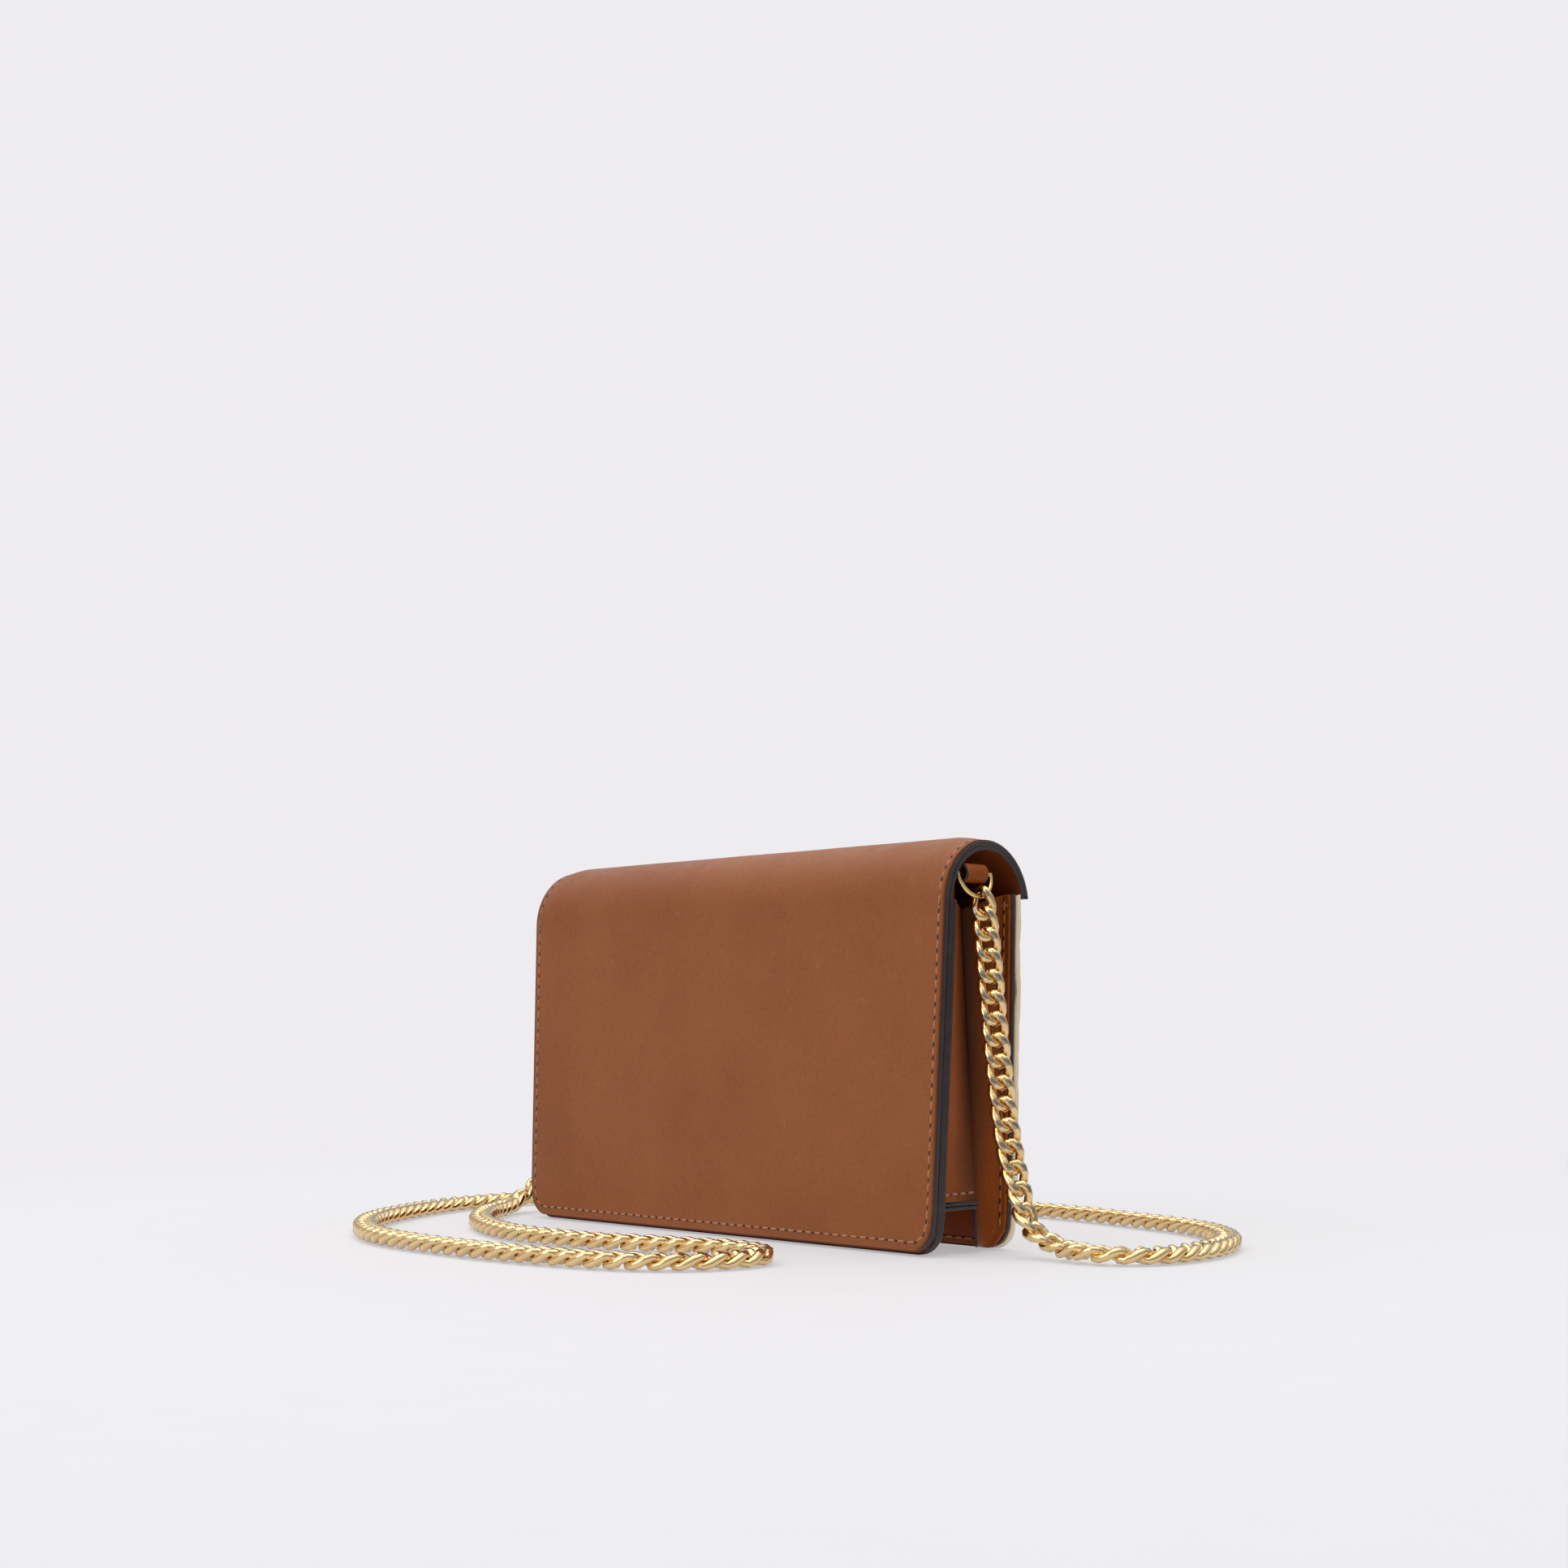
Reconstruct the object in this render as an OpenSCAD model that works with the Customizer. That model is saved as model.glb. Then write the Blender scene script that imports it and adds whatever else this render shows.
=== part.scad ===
/* [Body] */
// Width of the wallet along its fold
body_w = 196; // [184:1:206]
// Narrowing of each side between the fold and the foot
side_flare = 3.3; // [0:0.1:4]
// Height of the fold, where the rear panel becomes the flap
fold_h = 100; // [98:0.5:102]
// Rise of the arch above the fold
arch_rise = 19.4; // [18.5:0.1:20]
// Depth of the wallet over its foot
foot_depth = 39.8; // [39.4:0.1:40.4]
// Forward lean of the rear panel in degrees
lean = 1.89; // [1.6:0.01:2.2]
// Radius of the bottom corners of the panels
corner_r = 8.5; // [5:0.5:12]

/* [Flap] */
// Height of the flap's lowest point, at the middle of the front
tongue_z = 58; // [52:1:62]
// Height of the flap's ends
flap_side_z = 99.5; // [97:0.5:99.5]
// Height of the magnetic snap
snap_z = 71; // [68:0.5:76]

/* [Leather] */
// Thickness of the outer leather
leather_t = 1.1; // [0.9:0.05:1.15]
// Thickness of the stiffening board between leather and lining
core_t = 0.5; // [0.4:0.05:0.55]
// Thickness of the linings
lining_t = 0.6; // [0.5:0.05:0.65]
// Thickness of the gusset leather
gusset_t = 1.1; // [0.8:0.1:1.3]

/* [Front] */
// Height of the front wall
front_h = 104; // [100:0.5:104]
// Thickness of the embossed metallic front panel
gold_t = 2.5; // [2.2:0.1:2.6]

/* [Inside] */
// Number of card slots in each column
card_tiers = 3; // [3]
// Step between the tops of two card slots
card_step = 12; // [9:1:13]
// Height of the pouch floor's underside
base_z = 12.7; // [10:0.1:14]
// Height of the zipped coin pocket
pocket_top = 92; // [86:0.5:92]

/* [Rings and chain] */
// Outside width of the strap rings
ring_w = 15.4; // [14.8:0.1:15.6]
// Radius of the ring wire
ring_wire_r = 0.7; // [0.6:0.05:0.9]
// Swing of the rings at rest, outwards in degrees
ring_tilt = 14; // [0:1:20]
// Width of the chain
chain_w = 8.3; // [7:0.1:9]
// Thickness of the chain where it lies flat
chain_t = 5.2; // [4:0.1:5.2]

/* [Hidden] */

leather_color = "#8F5236";
lining_color = "#6B3A1E";
board_color = "#3A3436";
gold_color = "#D9C39A";
metal_color = "#E8C58A";

half_w = body_w / 2;
rear_y = foot_depth / 2;
fold_y = rear_y - fold_h * tan(lean);
arch_half = (fold_y + rear_y) / 2;
arch_y = fold_y - arch_half;

glue = 0.05;
free_gap = 0.3;
core_in = leather_t + glue;
lining_in = core_in + core_t + glue;
shell_t = lining_in + lining_t;
floor_size = 400;

// Body wall, measured inwards from the outer face of the rear panel
wall_leather_t = 0.9;
wall_in = shell_t + free_gap;
wall_core_in = wall_in + wall_leather_t + glue;
wall_lining_in = wall_core_in + core_t + glue;
wall_lining_t = 0.65;
wall_t_end = wall_lining_in + wall_lining_t;
wall_top = 101.5;
core_inset = 3;
core_floor = 3;

// Arch of the flap, in straight steps
arch_steps = 48;

// Front wall
front_gap = 0.8;
front_y = -rear_y + shell_t + front_gap;
front_core_t = 0.8;
front_lining_t = 0.9;
front_core_y = front_y + gold_t + glue;
front_lining_y = front_core_y + front_core_t + glue;
front_in_y = front_lining_y + front_lining_t;

// Snap
stud_r = 6;
stud_post_r = 2;
stud_post_len = 1.2;
socket_r = 7;
socket_depth = 2.1;
socket_pit_r = 3.5;
socket_pit_depth = 1.6;
magnet_in_r = 4.2;
magnet_out_r = 6.2;
magnet_t = 1.6;

// Pouch floor
base_t = 1.1;
base_end_inset = 1.4;
base_front_inset = 6.5;
base_split_y = -0.7;

// Gussets
gusset_fold_y = -0.9;
fold_in_foot = 0.7;
fold_in_rise = 0.088;
gusset_edge = 0.8;
gusset_front_foot = 1;
gusset_rear_top = 101;
gusset_fold_top = 99.5;
gusset_front_top = 103.8;
gusset_levels = 6;

// Card slots
card_t = 0.7;
card_x0 = 3;
card_w = 84;
card_top = 94;
card_floor = 24;

// Coin pocket and its zip
pocket_half_w = 84;
pocket_y0 = -1.1;
pocket_y1 = 5.3;
pocket_wall = 0.8;
tape_half_w = 80;
tape_t = 0.7;
tape_w = 2.7;
tape_z = pocket_top + glue;
tooth = [1.1, 0.95, 1.1];
tooth_pitch = 2.5;
teeth_half_w = 73.5;
teeth_gap = 0.1;
zip_y = (pocket_y0 + pocket_y1) / 2;
tooth_z = tape_z + tape_t + glue;
stop_x = 77;
slider_len = 8;
slider_x = -66;
slider_half_w = 2;
slider_wall = 0.7;
slider_cap_z = tooth_z + tooth[2] + free_gap;
slider_cap_t = 0.8;
pin_r = 0.5;
pin_bore_r = 0.57;
pin_z = slider_cap_z + slider_cap_t + 1.3;
pin_x = slider_x + 1;
puller_len = 17;
puller_w = 2.2;
puller_t = 1.1;
post_t = 0.6;
post_len = 2;

// Strap rings and their leather tabs
tab_x = half_w - 1.2;
tab_y = 4.35;
tab_z = 109.3;
tab_w = 9.1;
tab_roll_r = 2.9;
tab_bore_r = ring_wire_r + 0.07;
tab_strap_t = 2;
tab_strap_x = 84.2;
tab_strap_foot = 88;
tab_strap_top = tab_z + 1.2;
ring_y = 3.4;
ring_r = ring_w / 2 - ring_wire_r;

// Route of the chain's middle, from the left ring down, over the floor and up to the right ring
floor_z = 2.7;
chain_route = [
    [-99, 1.7, 100.6], [-100, 1.6, 90], [-102.5, 1.1, 62], [-105.5, 0.1, 35],
    [-108.5, -0.9, 20], [-113, -0.9, 9], [-121, -1.9, 3.6], [-138, -1.9, 2.9],
    [-148, -14.9, floor_z], [-148, -40.9, floor_z], [-136, -68.9, floor_z],
    [-110, -90.9, floor_z], [-75, -100.9, floor_z], [-30, -106.9, floor_z],
    [20, -106.9, floor_z], [65, -98.9, floor_z], [103, -78.9, floor_z], [128, -46.9, floor_z],
    [137, -10.9, floor_z], [133, 23.1, floor_z], [122, 51.1, floor_z], [103, 79.1, floor_z],
    [77, 100.1, floor_z], [45, 111.1, floor_z], [8, 114.1, floor_z], [-30, 111.1, floor_z],
    [-60, 102.1, floor_z], [-75, 85.1, floor_z], [-74, 67.1, floor_z], [-57, 59.1, floor_z],
    [-35, 64.1, floor_z], [-5, 74.1, floor_z], [30, 77.1, floor_z], [66, 65.1, floor_z],
    [94, 43.1, 2.9], [110, 21.1, 3.2], [112.5, 7.1, 8], [108, 2.1, 22], [103, 1.6, 60],
    [99, 1.7, 100.6]
];
chain_sides = 8;

function side_x(z) = half_w - side_flare * max(0, 1 - z / fold_h);

function corner(cx, cz, r, from) =
    [for (i = [0 : 6]) [cx + r * cos(from - 15 * i), cz + r * sin(from - 15 * i)]];

// Panel outline with rounded bottom corners, inset from the panel's own edge
function panel_outline(z0, z1, inset, r) = concat(
    [[-side_x(z1) + inset, z1], [side_x(z1) - inset, z1]],
    corner(side_x(z0) - inset - r, z0 + r, r, 0),
    corner(-side_x(z0) + inset + r, z0 + r, r, -90)
);

function flap_edge(x) =
    tongue_z + (flap_side_z - tongue_z) * (1 - cos(180 * x / half_w)) / 2;

function flap_outline() = concat(
    [[half_w, fold_h], [-half_w, fold_h]],
    [for (i = [-12 : 12]) [i / 12 * half_w, flap_edge(i / 12 * half_w)]]
);

// A sheet of outline points, between y_out - t and y_out
module upright(points, y_out, t) {
    translate([0, y_out, 0]) rotate([90, 0, 0]) linear_extrude(t) polygon(points);
}

// Rear parts are drawn upright, with y = 0 on the outer face, and lean forward together
module leaning() {
    difference() {
        translate([0, rear_y, 0]) rotate([lean, 0, 0]) children();
        translate([0, 0, -floor_size / 2]) cube(floor_size, center = true);
    }
}

module rear_sheet(inwards, t, z0, z1, inset) {
    leaning() upright(panel_outline(z0, z1, inset, corner_r), -inwards, t);
}

module back_leather() color(leather_color)
    rear_sheet(0, leather_t, -0.5, fold_h - free_gap, 0);

module back_core() color(board_color)
    rear_sheet(core_in, core_t, 0.5, fold_h - free_gap, 0.3);

module back_lining() color(lining_color)
    rear_sheet(lining_in, lining_t, 0.3, fold_h - free_gap, 0);

module wall_leather() color(lining_color)
    rear_sheet(wall_in, wall_leather_t, 0.4, wall_top, 0.2);

module wall_core() color(board_color)
    rear_sheet(wall_core_in, core_t, core_floor, wall_top - 2, core_inset);

module wall_lining() color(lining_color)
    rear_sheet(wall_lining_in, wall_lining_t, 0.6, wall_top, 0.2);

function rear_in_y(z, inwards) = rear_y - z * tan(lean) - inwards / cos(lean);

// The pouch floor stops short of the front leaf of each gusset
module base_sheet(z, t) {
    rear = rear_in_y(z + t, wall_t_end) - glue;
    front = front_in_y + free_gap;
    wide = side_x(z) - base_end_inset;
    narrow = side_x(z) - base_front_inset;
    translate([0, 0, z]) linear_extrude(t) polygon([
        [-wide, rear], [-wide, base_split_y], [-narrow, base_split_y], [-narrow, front],
        [narrow, front], [narrow, base_split_y], [wide, base_split_y], [wide, rear]
    ]);
}

module base_leather() color(leather_color) base_sheet(base_z, base_t);

module base_lining() color(lining_color) base_sheet(base_z + base_t + glue, base_t);

// Stations round a gusset from the rear wall, over the inward fold, to the front wall:
// inset from the side edge, y, foot height and top height
function fold_in(z) = fold_in_foot + fold_in_rise * z;

function gusset_rear_y(z) = rear_in_y(z, wall_t_end) - glue;

function gusset_point(i, z, d) =
    i == 0 ? [gusset_edge + d, gusset_rear_y(z)] :
    i == 1 ? [gusset_edge + 0.45 * fold_in(z) + d, (gusset_rear_y(z) + gusset_fold_y) / 2] :
    i == 2 || i == 3 ? [gusset_edge + fold_in(z) + d, gusset_fold_y] :
    i == 4 ? [gusset_edge + 2.5 + 0.45 * fold_in(z) + d, front_in_y * 0.55] :
    i == 5 ? [gusset_edge + 3.6 + d * 0.8, front_in_y + 2.4 + d * 0.5] :
    i == 6 ? [gusset_edge + 2.8, front_in_y + free_gap + gusset_t * 0.8 * (d > 0 ? 0 : 1)] :
    [gusset_edge - 0.2, front_in_y + free_gap + gusset_t * 0.8 * (d > 0 ? 0 : 1)];

function gusset_foot(i) = i < 3 ? base_z + 2 * base_t + 2 * glue : gusset_front_foot;

function gusset_head(i) =
    i < 2 ? gusset_rear_top - i * 0.5 :
    i < 4 ? gusset_fold_top : min(gusset_front_top, gusset_fold_top + 1.4 * (i - 3));

function gusset_z(i, j) =
    gusset_foot(i) + (gusset_head(i) - gusset_foot(i)) * j / gusset_levels;

function gusset_grid(from, to, side, d) = [
    for (i = [from : to]) [
        for (j = [0 : gusset_levels])
            let (z = gusset_z(i, j), p = gusset_point(i, z, d))
            [side * (side_x(z) - p[0]), p[1], z]
    ]
];

// A closed sheet between two grids of points
module sheet(outer, inner) {
    n = len(outer);
    m = len(outer[0]);
    flat = concat([for (row = outer) each row], [for (row = inner) each row]);
    function at(k, i, j) = k * n * m + i * m + j;
    polyhedron(flat, concat(
        [for (i = [0 : n - 2], j = [0 : m - 2]) each [
            [at(0, i, j), at(0, i + 1, j), at(0, i + 1, j + 1)],
            [at(0, i, j), at(0, i + 1, j + 1), at(0, i, j + 1)],
            [at(1, i, j), at(1, i + 1, j + 1), at(1, i + 1, j)],
            [at(1, i, j), at(1, i, j + 1), at(1, i + 1, j + 1)]
        ]],
        [for (i = [0 : n - 2]) each [
            [at(0, i, 0), at(1, i, 0), at(1, i + 1, 0)],
            [at(0, i, 0), at(1, i + 1, 0), at(0, i + 1, 0)],
            [at(0, i, m - 1), at(1, i + 1, m - 1), at(1, i, m - 1)],
            [at(0, i, m - 1), at(0, i + 1, m - 1), at(1, i + 1, m - 1)]
        ]],
        [for (j = [0 : m - 2]) each [
            [at(0, 0, j), at(1, 0, j + 1), at(1, 0, j)],
            [at(0, 0, j), at(0, 0, j + 1), at(1, 0, j + 1)],
            [at(0, n - 1, j), at(1, n - 1, j), at(1, n - 1, j + 1)],
            [at(0, n - 1, j), at(1, n - 1, j + 1), at(0, n - 1, j + 1)]
        ]]
    ));
}

module gusset_leaf(from, to, side) {
    outer = gusset_grid(from, to, side, 0);
    inner = gusset_grid(from, to, side, gusset_t);
    sheet(side < 0 ? outer : inner, side < 0 ? inner : outer);
}

module gusset(side) color(leather_color) {
    gusset_leaf(0, 2, side);
    gusset_leaf(3, 7, side);
}

module gusset_left() gusset(-1);

module gusset_right() gusset(1);

// Card slots are stacked sheets, the tallest against the wall
module card_slot(side, tier) color(lining_color) {
    x0 = side < 0 ? -card_x0 - card_w : card_x0;
    y_out = -wall_t_end - glue - tier * (card_t + glue);
    top = card_top - tier * card_step;
    leaning() translate([x0, y_out - card_t, card_floor])
        cube([card_w, card_t, top - card_floor]);
}

module coin_pocket() color(lining_color) {
    foot = base_z + 2 * base_t + 2 * glue;
    difference() {
        translate([-pocket_half_w, pocket_y0, foot])
            cube([2 * pocket_half_w, pocket_y1 - pocket_y0, pocket_top - foot]);
        translate([-pocket_half_w + pocket_wall, pocket_y0 + pocket_wall, foot + pocket_wall])
            cube([2 * (pocket_half_w - pocket_wall),
                  pocket_y1 - pocket_y0 - 2 * pocket_wall, pocket_top]);
    }
}

module zip_tape(y0) color("#4A2C18") translate([-tape_half_w, y0, tape_z])
    cube([2 * tape_half_w, tape_w, tape_t]);

module zip_teeth(side) color(metal_color)
    for (x = [-teeth_half_w + (side + 1) / 4 * tooth_pitch : tooth_pitch : teeth_half_w])
        translate([x, side < 0 ? zip_y - teeth_gap / 2 - tooth[1] : zip_y + teeth_gap / 2, tooth_z])
            cube(tooth);

module zip_stops() color(metal_color)
    for (x = [-stop_x, stop_x - 1.6])
        translate([x, zip_y - 1.4, tooth_z]) cube([1.6, 2.8, 1]);

module zip_slider() color(metal_color) {
    translate([slider_x - slider_len / 2, zip_y - slider_half_w, slider_cap_z])
        cube([slider_len, 2 * slider_half_w, slider_cap_t]);
    for (y = [zip_y - slider_half_w, zip_y + slider_half_w - slider_wall])
        translate([slider_x - slider_len / 2, y, tooth_z + 0.25])
            cube([slider_len, slider_wall, slider_cap_z - tooth_z]);
    for (y = [zip_y - slider_half_w, zip_y + slider_half_w - post_t])
        translate([pin_x - post_len / 2, y, slider_cap_z])
            cube([post_len, post_t, pin_z + 0.9 - slider_cap_z]);
    translate([pin_x, zip_y - slider_half_w, pin_z]) rotate([-90, 0, 0])
        cylinder(r = pin_r, h = 2 * slider_half_w, $fn = 32);
}

module zip_puller() color(metal_color) difference() {
    union() {
        translate([pin_x, zip_y - puller_w / 2, pin_z]) rotate([-90, 0, 0])
            cylinder(r = 1.15, h = puller_w, $fn = 40);
        translate([pin_x, zip_y - puller_w / 2, pin_z - puller_t / 2])
            cube([puller_len, puller_w, puller_t]);
    }
    translate([pin_x, zip_y - puller_w, pin_z]) rotate([-90, 0, 0])
        cylinder(r = pin_bore_r, h = 2 * puller_w, $fn = 40);
}

function arch_line(inwards) = [for (i = [0 : arch_steps])
    let (a = 180 * i / arch_steps)
    [(arch_half - inwards) * cos(a), (arch_rise - inwards) * sin(a)]];

function reversed(p) = [for (i = [len(p) - 1 : -1 : 0]) p[i]];

// One layer of the flap: the arch over the top, then the sheet that hangs in front
module flap_layer(inwards, t) {
    translate([0, arch_y, fold_h]) rotate([90, 0, 90])
        linear_extrude(body_w, center = true)
            polygon(concat(arch_line(inwards), reversed(arch_line(inwards + t))));
    upright(flap_outline(), -rear_y + inwards + t, t);
}

module snap_cylinder(r, y0, y1) {
    translate([0, y1, snap_z]) rotate([90, 0, 0]) cylinder(r = r, h = y1 - y0, $fn = 64);
}

module flap_leather() color(leather_color) flap_layer(0, leather_t);

module flap_core() color(board_color) difference() {
    flap_layer(core_in, core_t);
    snap_cylinder(stud_r + glue, -rear_y, front_y);
}

module flap_lining() color(lining_color) difference() {
    flap_layer(lining_in, lining_t);
    snap_cylinder(stud_r + glue, -rear_y, front_y);
}

module snap_stud() color(metal_color) {
    snap_cylinder(stud_r, -rear_y + core_in, -rear_y + shell_t);
    snap_cylinder(stud_post_r, -rear_y + core_in, -rear_y + shell_t + stud_post_len);
}

module front_panel() color(gold_color) difference() {
    upright(panel_outline(0, front_h, 0, corner_r), front_y + gold_t, gold_t);
    snap_cylinder(socket_r + glue, front_y - 1, front_y + gold_t + 1);
}

module front_core() color(board_color)
    upright(panel_outline(core_floor, front_h - 2, core_inset, corner_r),
            front_core_y + front_core_t, front_core_t);

module front_lining() color(leather_color)
    upright(panel_outline(0.3, front_h, 0, corner_r), front_in_y, front_lining_t);

module snap_socket() color(metal_color) difference() {
    snap_cylinder(socket_r, front_y, front_y + socket_depth);
    snap_cylinder(socket_pit_r, front_y - 1, front_y + socket_pit_depth);
    difference() {
        snap_cylinder(magnet_out_r + glue, front_y + 0.4, front_y + socket_depth + 1);
        snap_cylinder(magnet_in_r - glue, front_y, front_y + socket_depth + 1);
    }
}

module snap_magnet() color(board_color) difference() {
    snap_cylinder(magnet_out_r, front_y + 0.45, front_y + 0.45 + magnet_t);
    snap_cylinder(magnet_in_r, front_y, front_y + socket_depth + 1);
}

// Leather tab: a roll that carries the ring's bar, and a strap sewn down inside the gusset
module ring_tab() color(leather_color) difference() {
    translate([0, tab_y + tab_w / 2, 0]) rotate([90, 0, 0]) linear_extrude(tab_w) union() {
        translate([tab_x, tab_z]) circle(r = tab_roll_r, $fn = 64);
        polygon([
            [tab_x, tab_strap_top + 1], [tab_strap_x + 1, tab_strap_top + 1],
            [tab_strap_x, tab_strap_top], [tab_strap_x, tab_strap_foot],
            [tab_strap_x + tab_strap_t, tab_strap_foot],
            [tab_strap_x + tab_strap_t, tab_strap_top - 1], [tab_x, tab_strap_top - 1]
        ]);
    }
    translate([tab_x, tab_y + tab_w, tab_z]) rotate([90, 0, 0])
        cylinder(r = tab_bore_r, h = 2 * tab_w, $fn = 48);
}

module ring_tab_left() mirror([1, 0, 0]) ring_tab();

module ring_tab_right() ring_tab();

// Half-round ring below a straight bar, swung outwards as the chain pulls it
module d_ring(side) color(metal_color)
    translate([side * tab_x, ring_y, tab_z]) rotate([0, -side * ring_tilt, 0]) {
        rotate([90, 0, 0]) cylinder(r = ring_wire_r, h = 2 * ring_r, center = true, $fn = 48);
        rotate([0, 90, 0]) rotate([0, 0, -90]) rotate_extrude(angle = 180, $fn = 64)
            translate([ring_r, 0]) circle(r = ring_wire_r, $fn = 32);
        for (y = [-ring_r, ring_r])
            translate([0, y, 0]) sphere(r = ring_wire_r, $fn = 32);
    }

module d_ring_left() d_ring(-1);

module d_ring_right() d_ring(1);

// Middle points between the route's points, on a smooth curve through them
function route_mid(a, b, c, d) = (9 * (b + c) - a - d) / 16;

function smooth_route(p) = [
    for (i = [0 : len(p) - 2])
        each [p[i], route_mid(p[max(i - 1, 0)], p[i], p[i + 1], p[min(i + 2, len(p) - 1)])],
    p[len(p) - 1]
];

function unit(v) = v / norm(v);

// Flat eight-sided section, its width level and across the route
function chain_ring(p, i) = let (
    along = unit(p[min(i + 1, len(p) - 1)] - p[max(i - 1, 0)]),
    across = unit(cross(along, [0, 0, 1])),
    up = cross(across, along)
) [for (k = [0 : chain_sides - 1])
    let (a = 360 / chain_sides * (k + 0.5), fit = 1 / cos(180 / chain_sides))
    p[i] + across * chain_w / 2 * fit * cos(a) + up * chain_t / 2 * fit * sin(a)];

module chain_strap() color(metal_color) {
    path = smooth_route(chain_route);
    rings = len(path);
    points = [for (i = [0 : rings - 1]) each chain_ring(path, i)];
    polyhedron(points, concat(
        [[for (k = [0 : chain_sides - 1]) k]],
        [for (i = [0 : rings - 2], k = [0 : chain_sides - 1])
            let (a = i * chain_sides + k, b = i * chain_sides + (k + 1) % chain_sides)
            each [[a, a + chain_sides, b + chain_sides], [a, b + chain_sides, b]]],
        [[for (k = [chain_sides - 1 : -1 : 0]) (rings - 1) * chain_sides + k]]
    ));
}

back_leather();
back_core();
back_lining();
wall_leather();
wall_core();
wall_lining();
base_leather();
base_lining();
gusset_left();
gusset_right();
card_slot(-1, 0);  // card_slot_left_1
card_slot(-1, 1);  // card_slot_left_2
card_slot(-1, 2);  // card_slot_left_3
card_slot(1, 0);  // card_slot_right_1
card_slot(1, 1);  // card_slot_right_2
card_slot(1, 2);  // card_slot_right_3
coin_pocket();
zip_tape(pocket_y0);  // zip_tape_front
zip_tape(pocket_y1 - tape_w);  // zip_tape_rear
zip_teeth(-1);  // zip_teeth_front
zip_teeth(1);  // zip_teeth_rear
zip_stops();
zip_slider();
zip_puller();
flap_leather();
flap_core();
flap_lining();
snap_stud();
front_panel();
front_core();
front_lining();
snap_socket();
snap_magnet();
ring_tab_left();
ring_tab_right();
d_ring_left();
d_ring_right();
chain_strap();
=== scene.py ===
"""Chain wallet: leather shell, gussets, inside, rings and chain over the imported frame."""
import math

import bpy
import numpy as np
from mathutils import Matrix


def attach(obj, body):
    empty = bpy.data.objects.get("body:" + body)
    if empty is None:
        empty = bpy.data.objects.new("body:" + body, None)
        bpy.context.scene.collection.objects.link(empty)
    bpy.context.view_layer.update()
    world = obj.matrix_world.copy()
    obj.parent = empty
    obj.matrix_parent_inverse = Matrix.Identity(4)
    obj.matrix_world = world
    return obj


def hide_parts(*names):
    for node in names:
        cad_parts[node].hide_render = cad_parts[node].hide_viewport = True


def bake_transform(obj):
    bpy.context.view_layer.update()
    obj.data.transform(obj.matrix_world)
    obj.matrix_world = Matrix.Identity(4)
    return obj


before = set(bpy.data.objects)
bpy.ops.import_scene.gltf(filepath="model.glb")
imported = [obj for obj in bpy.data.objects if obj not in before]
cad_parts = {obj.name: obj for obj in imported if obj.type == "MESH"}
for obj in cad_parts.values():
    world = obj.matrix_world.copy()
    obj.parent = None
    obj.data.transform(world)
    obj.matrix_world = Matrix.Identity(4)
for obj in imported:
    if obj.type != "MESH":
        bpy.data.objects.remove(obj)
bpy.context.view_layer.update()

MM = 0.001

# Sizes in millimetres, as in the design
HALF_W, SIDE_FLARE, FOLD_H, CORNER_R = 98.0, 3.3, 100.0, 8.5
LEAN = math.radians(1.89)
REAR_Y = 19.9
FOLD_Y = REAR_Y - FOLD_H * math.tan(LEAN)
ARCH_HALF, ARCH_RISE = (FOLD_Y + REAR_Y) / 2, 19.4
ARCH_Y = FOLD_Y - ARCH_HALF
TONGUE_Z, FLAP_SIDE_Z, FRONT_H, SNAP_Z = 58.0, 102.8, 104.0, 71.0
SHELL_FOOT = 1.4
OUTER_T, WALL_IN, WALL_END, WALL_TOP = 1.7, 2.6, 4.75, 101.5
FRONT_Y, FRONT_IN_Y = -16.8, -12.5
BASE_Z, BASE_END = 12.7, 15.0
GUSSET_T = 1.1
TAB_X, TAB_Y, TAB_Z, TAB_W = 96.8, 4.35, 109.3, 9.1
GUSSET_FOLD_Y, BASE_SPLIT_Y = -0.9, -0.7
CARD_T, CARD_X0, CARD_W, CARD_FLOOR = 0.7, 3.0, 84.0, 24.0
CARD_TOPS = (94.0, 82.0, 70.0)
POCKET_HALF, ZIP_Y, POCKET_TOP, TAPE_Z = 84.0, 2.1, 92.0, 92.05
CHAIN_W, LINK_PITCH = 8.3, 6.1
FLANGE_Y = FRONT_IN_Y + 1.12
SEAM_GAP, FLANGE_SEAM_GAP = 2.7, 2.6
GUSSET_ROW_Z = 17.4
ARCH_STEPS = 400
LINKS_HANGING = 18
CHAIN_LIES_FLAT_FROM, CHAIN_TURN = 35, 62


# ---------------------------------------------------------------- camera and light

def look_from(position, azimuth, pitch, lens):
    """A camera at a place in millimetres, turned and tilted in degrees."""
    camera = bpy.data.objects.new("camera", bpy.data.cameras.new("camera"))
    bpy.context.scene.collection.objects.link(camera)
    camera.location = [c * MM for c in position]
    camera.rotation_euler = (math.radians(90 + pitch), 0, math.radians(azimuth))
    camera.data.lens, camera.data.sensor_width = lens, 36
    camera.data.clip_start = 0.01
    bpy.context.scene.camera = camera


def softbox(name, position, target, size, power):
    """An area light in metres that faces a target."""
    light = bpy.data.lights.new(name, "AREA")
    light.shape, light.size, light.size_y = "RECTANGLE", *size
    light.energy = power
    lamp = bpy.data.objects.new(name, light)
    bpy.context.scene.collection.objects.link(lamp)
    towards = np.array(target, float) - np.array(position, float)
    flat = math.hypot(towards[0], towards[1])
    lamp.location = position
    lamp.rotation_euler = (math.atan2(flat, -towards[2]), 0,
                           math.atan2(-towards[0], towards[1]))


look_from(position=(-525.1, 478.4, 64.2), azimuth=227.0, pitch=6.39, lens=50.31)


# ---------------------------------------------------------------- finishes

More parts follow.
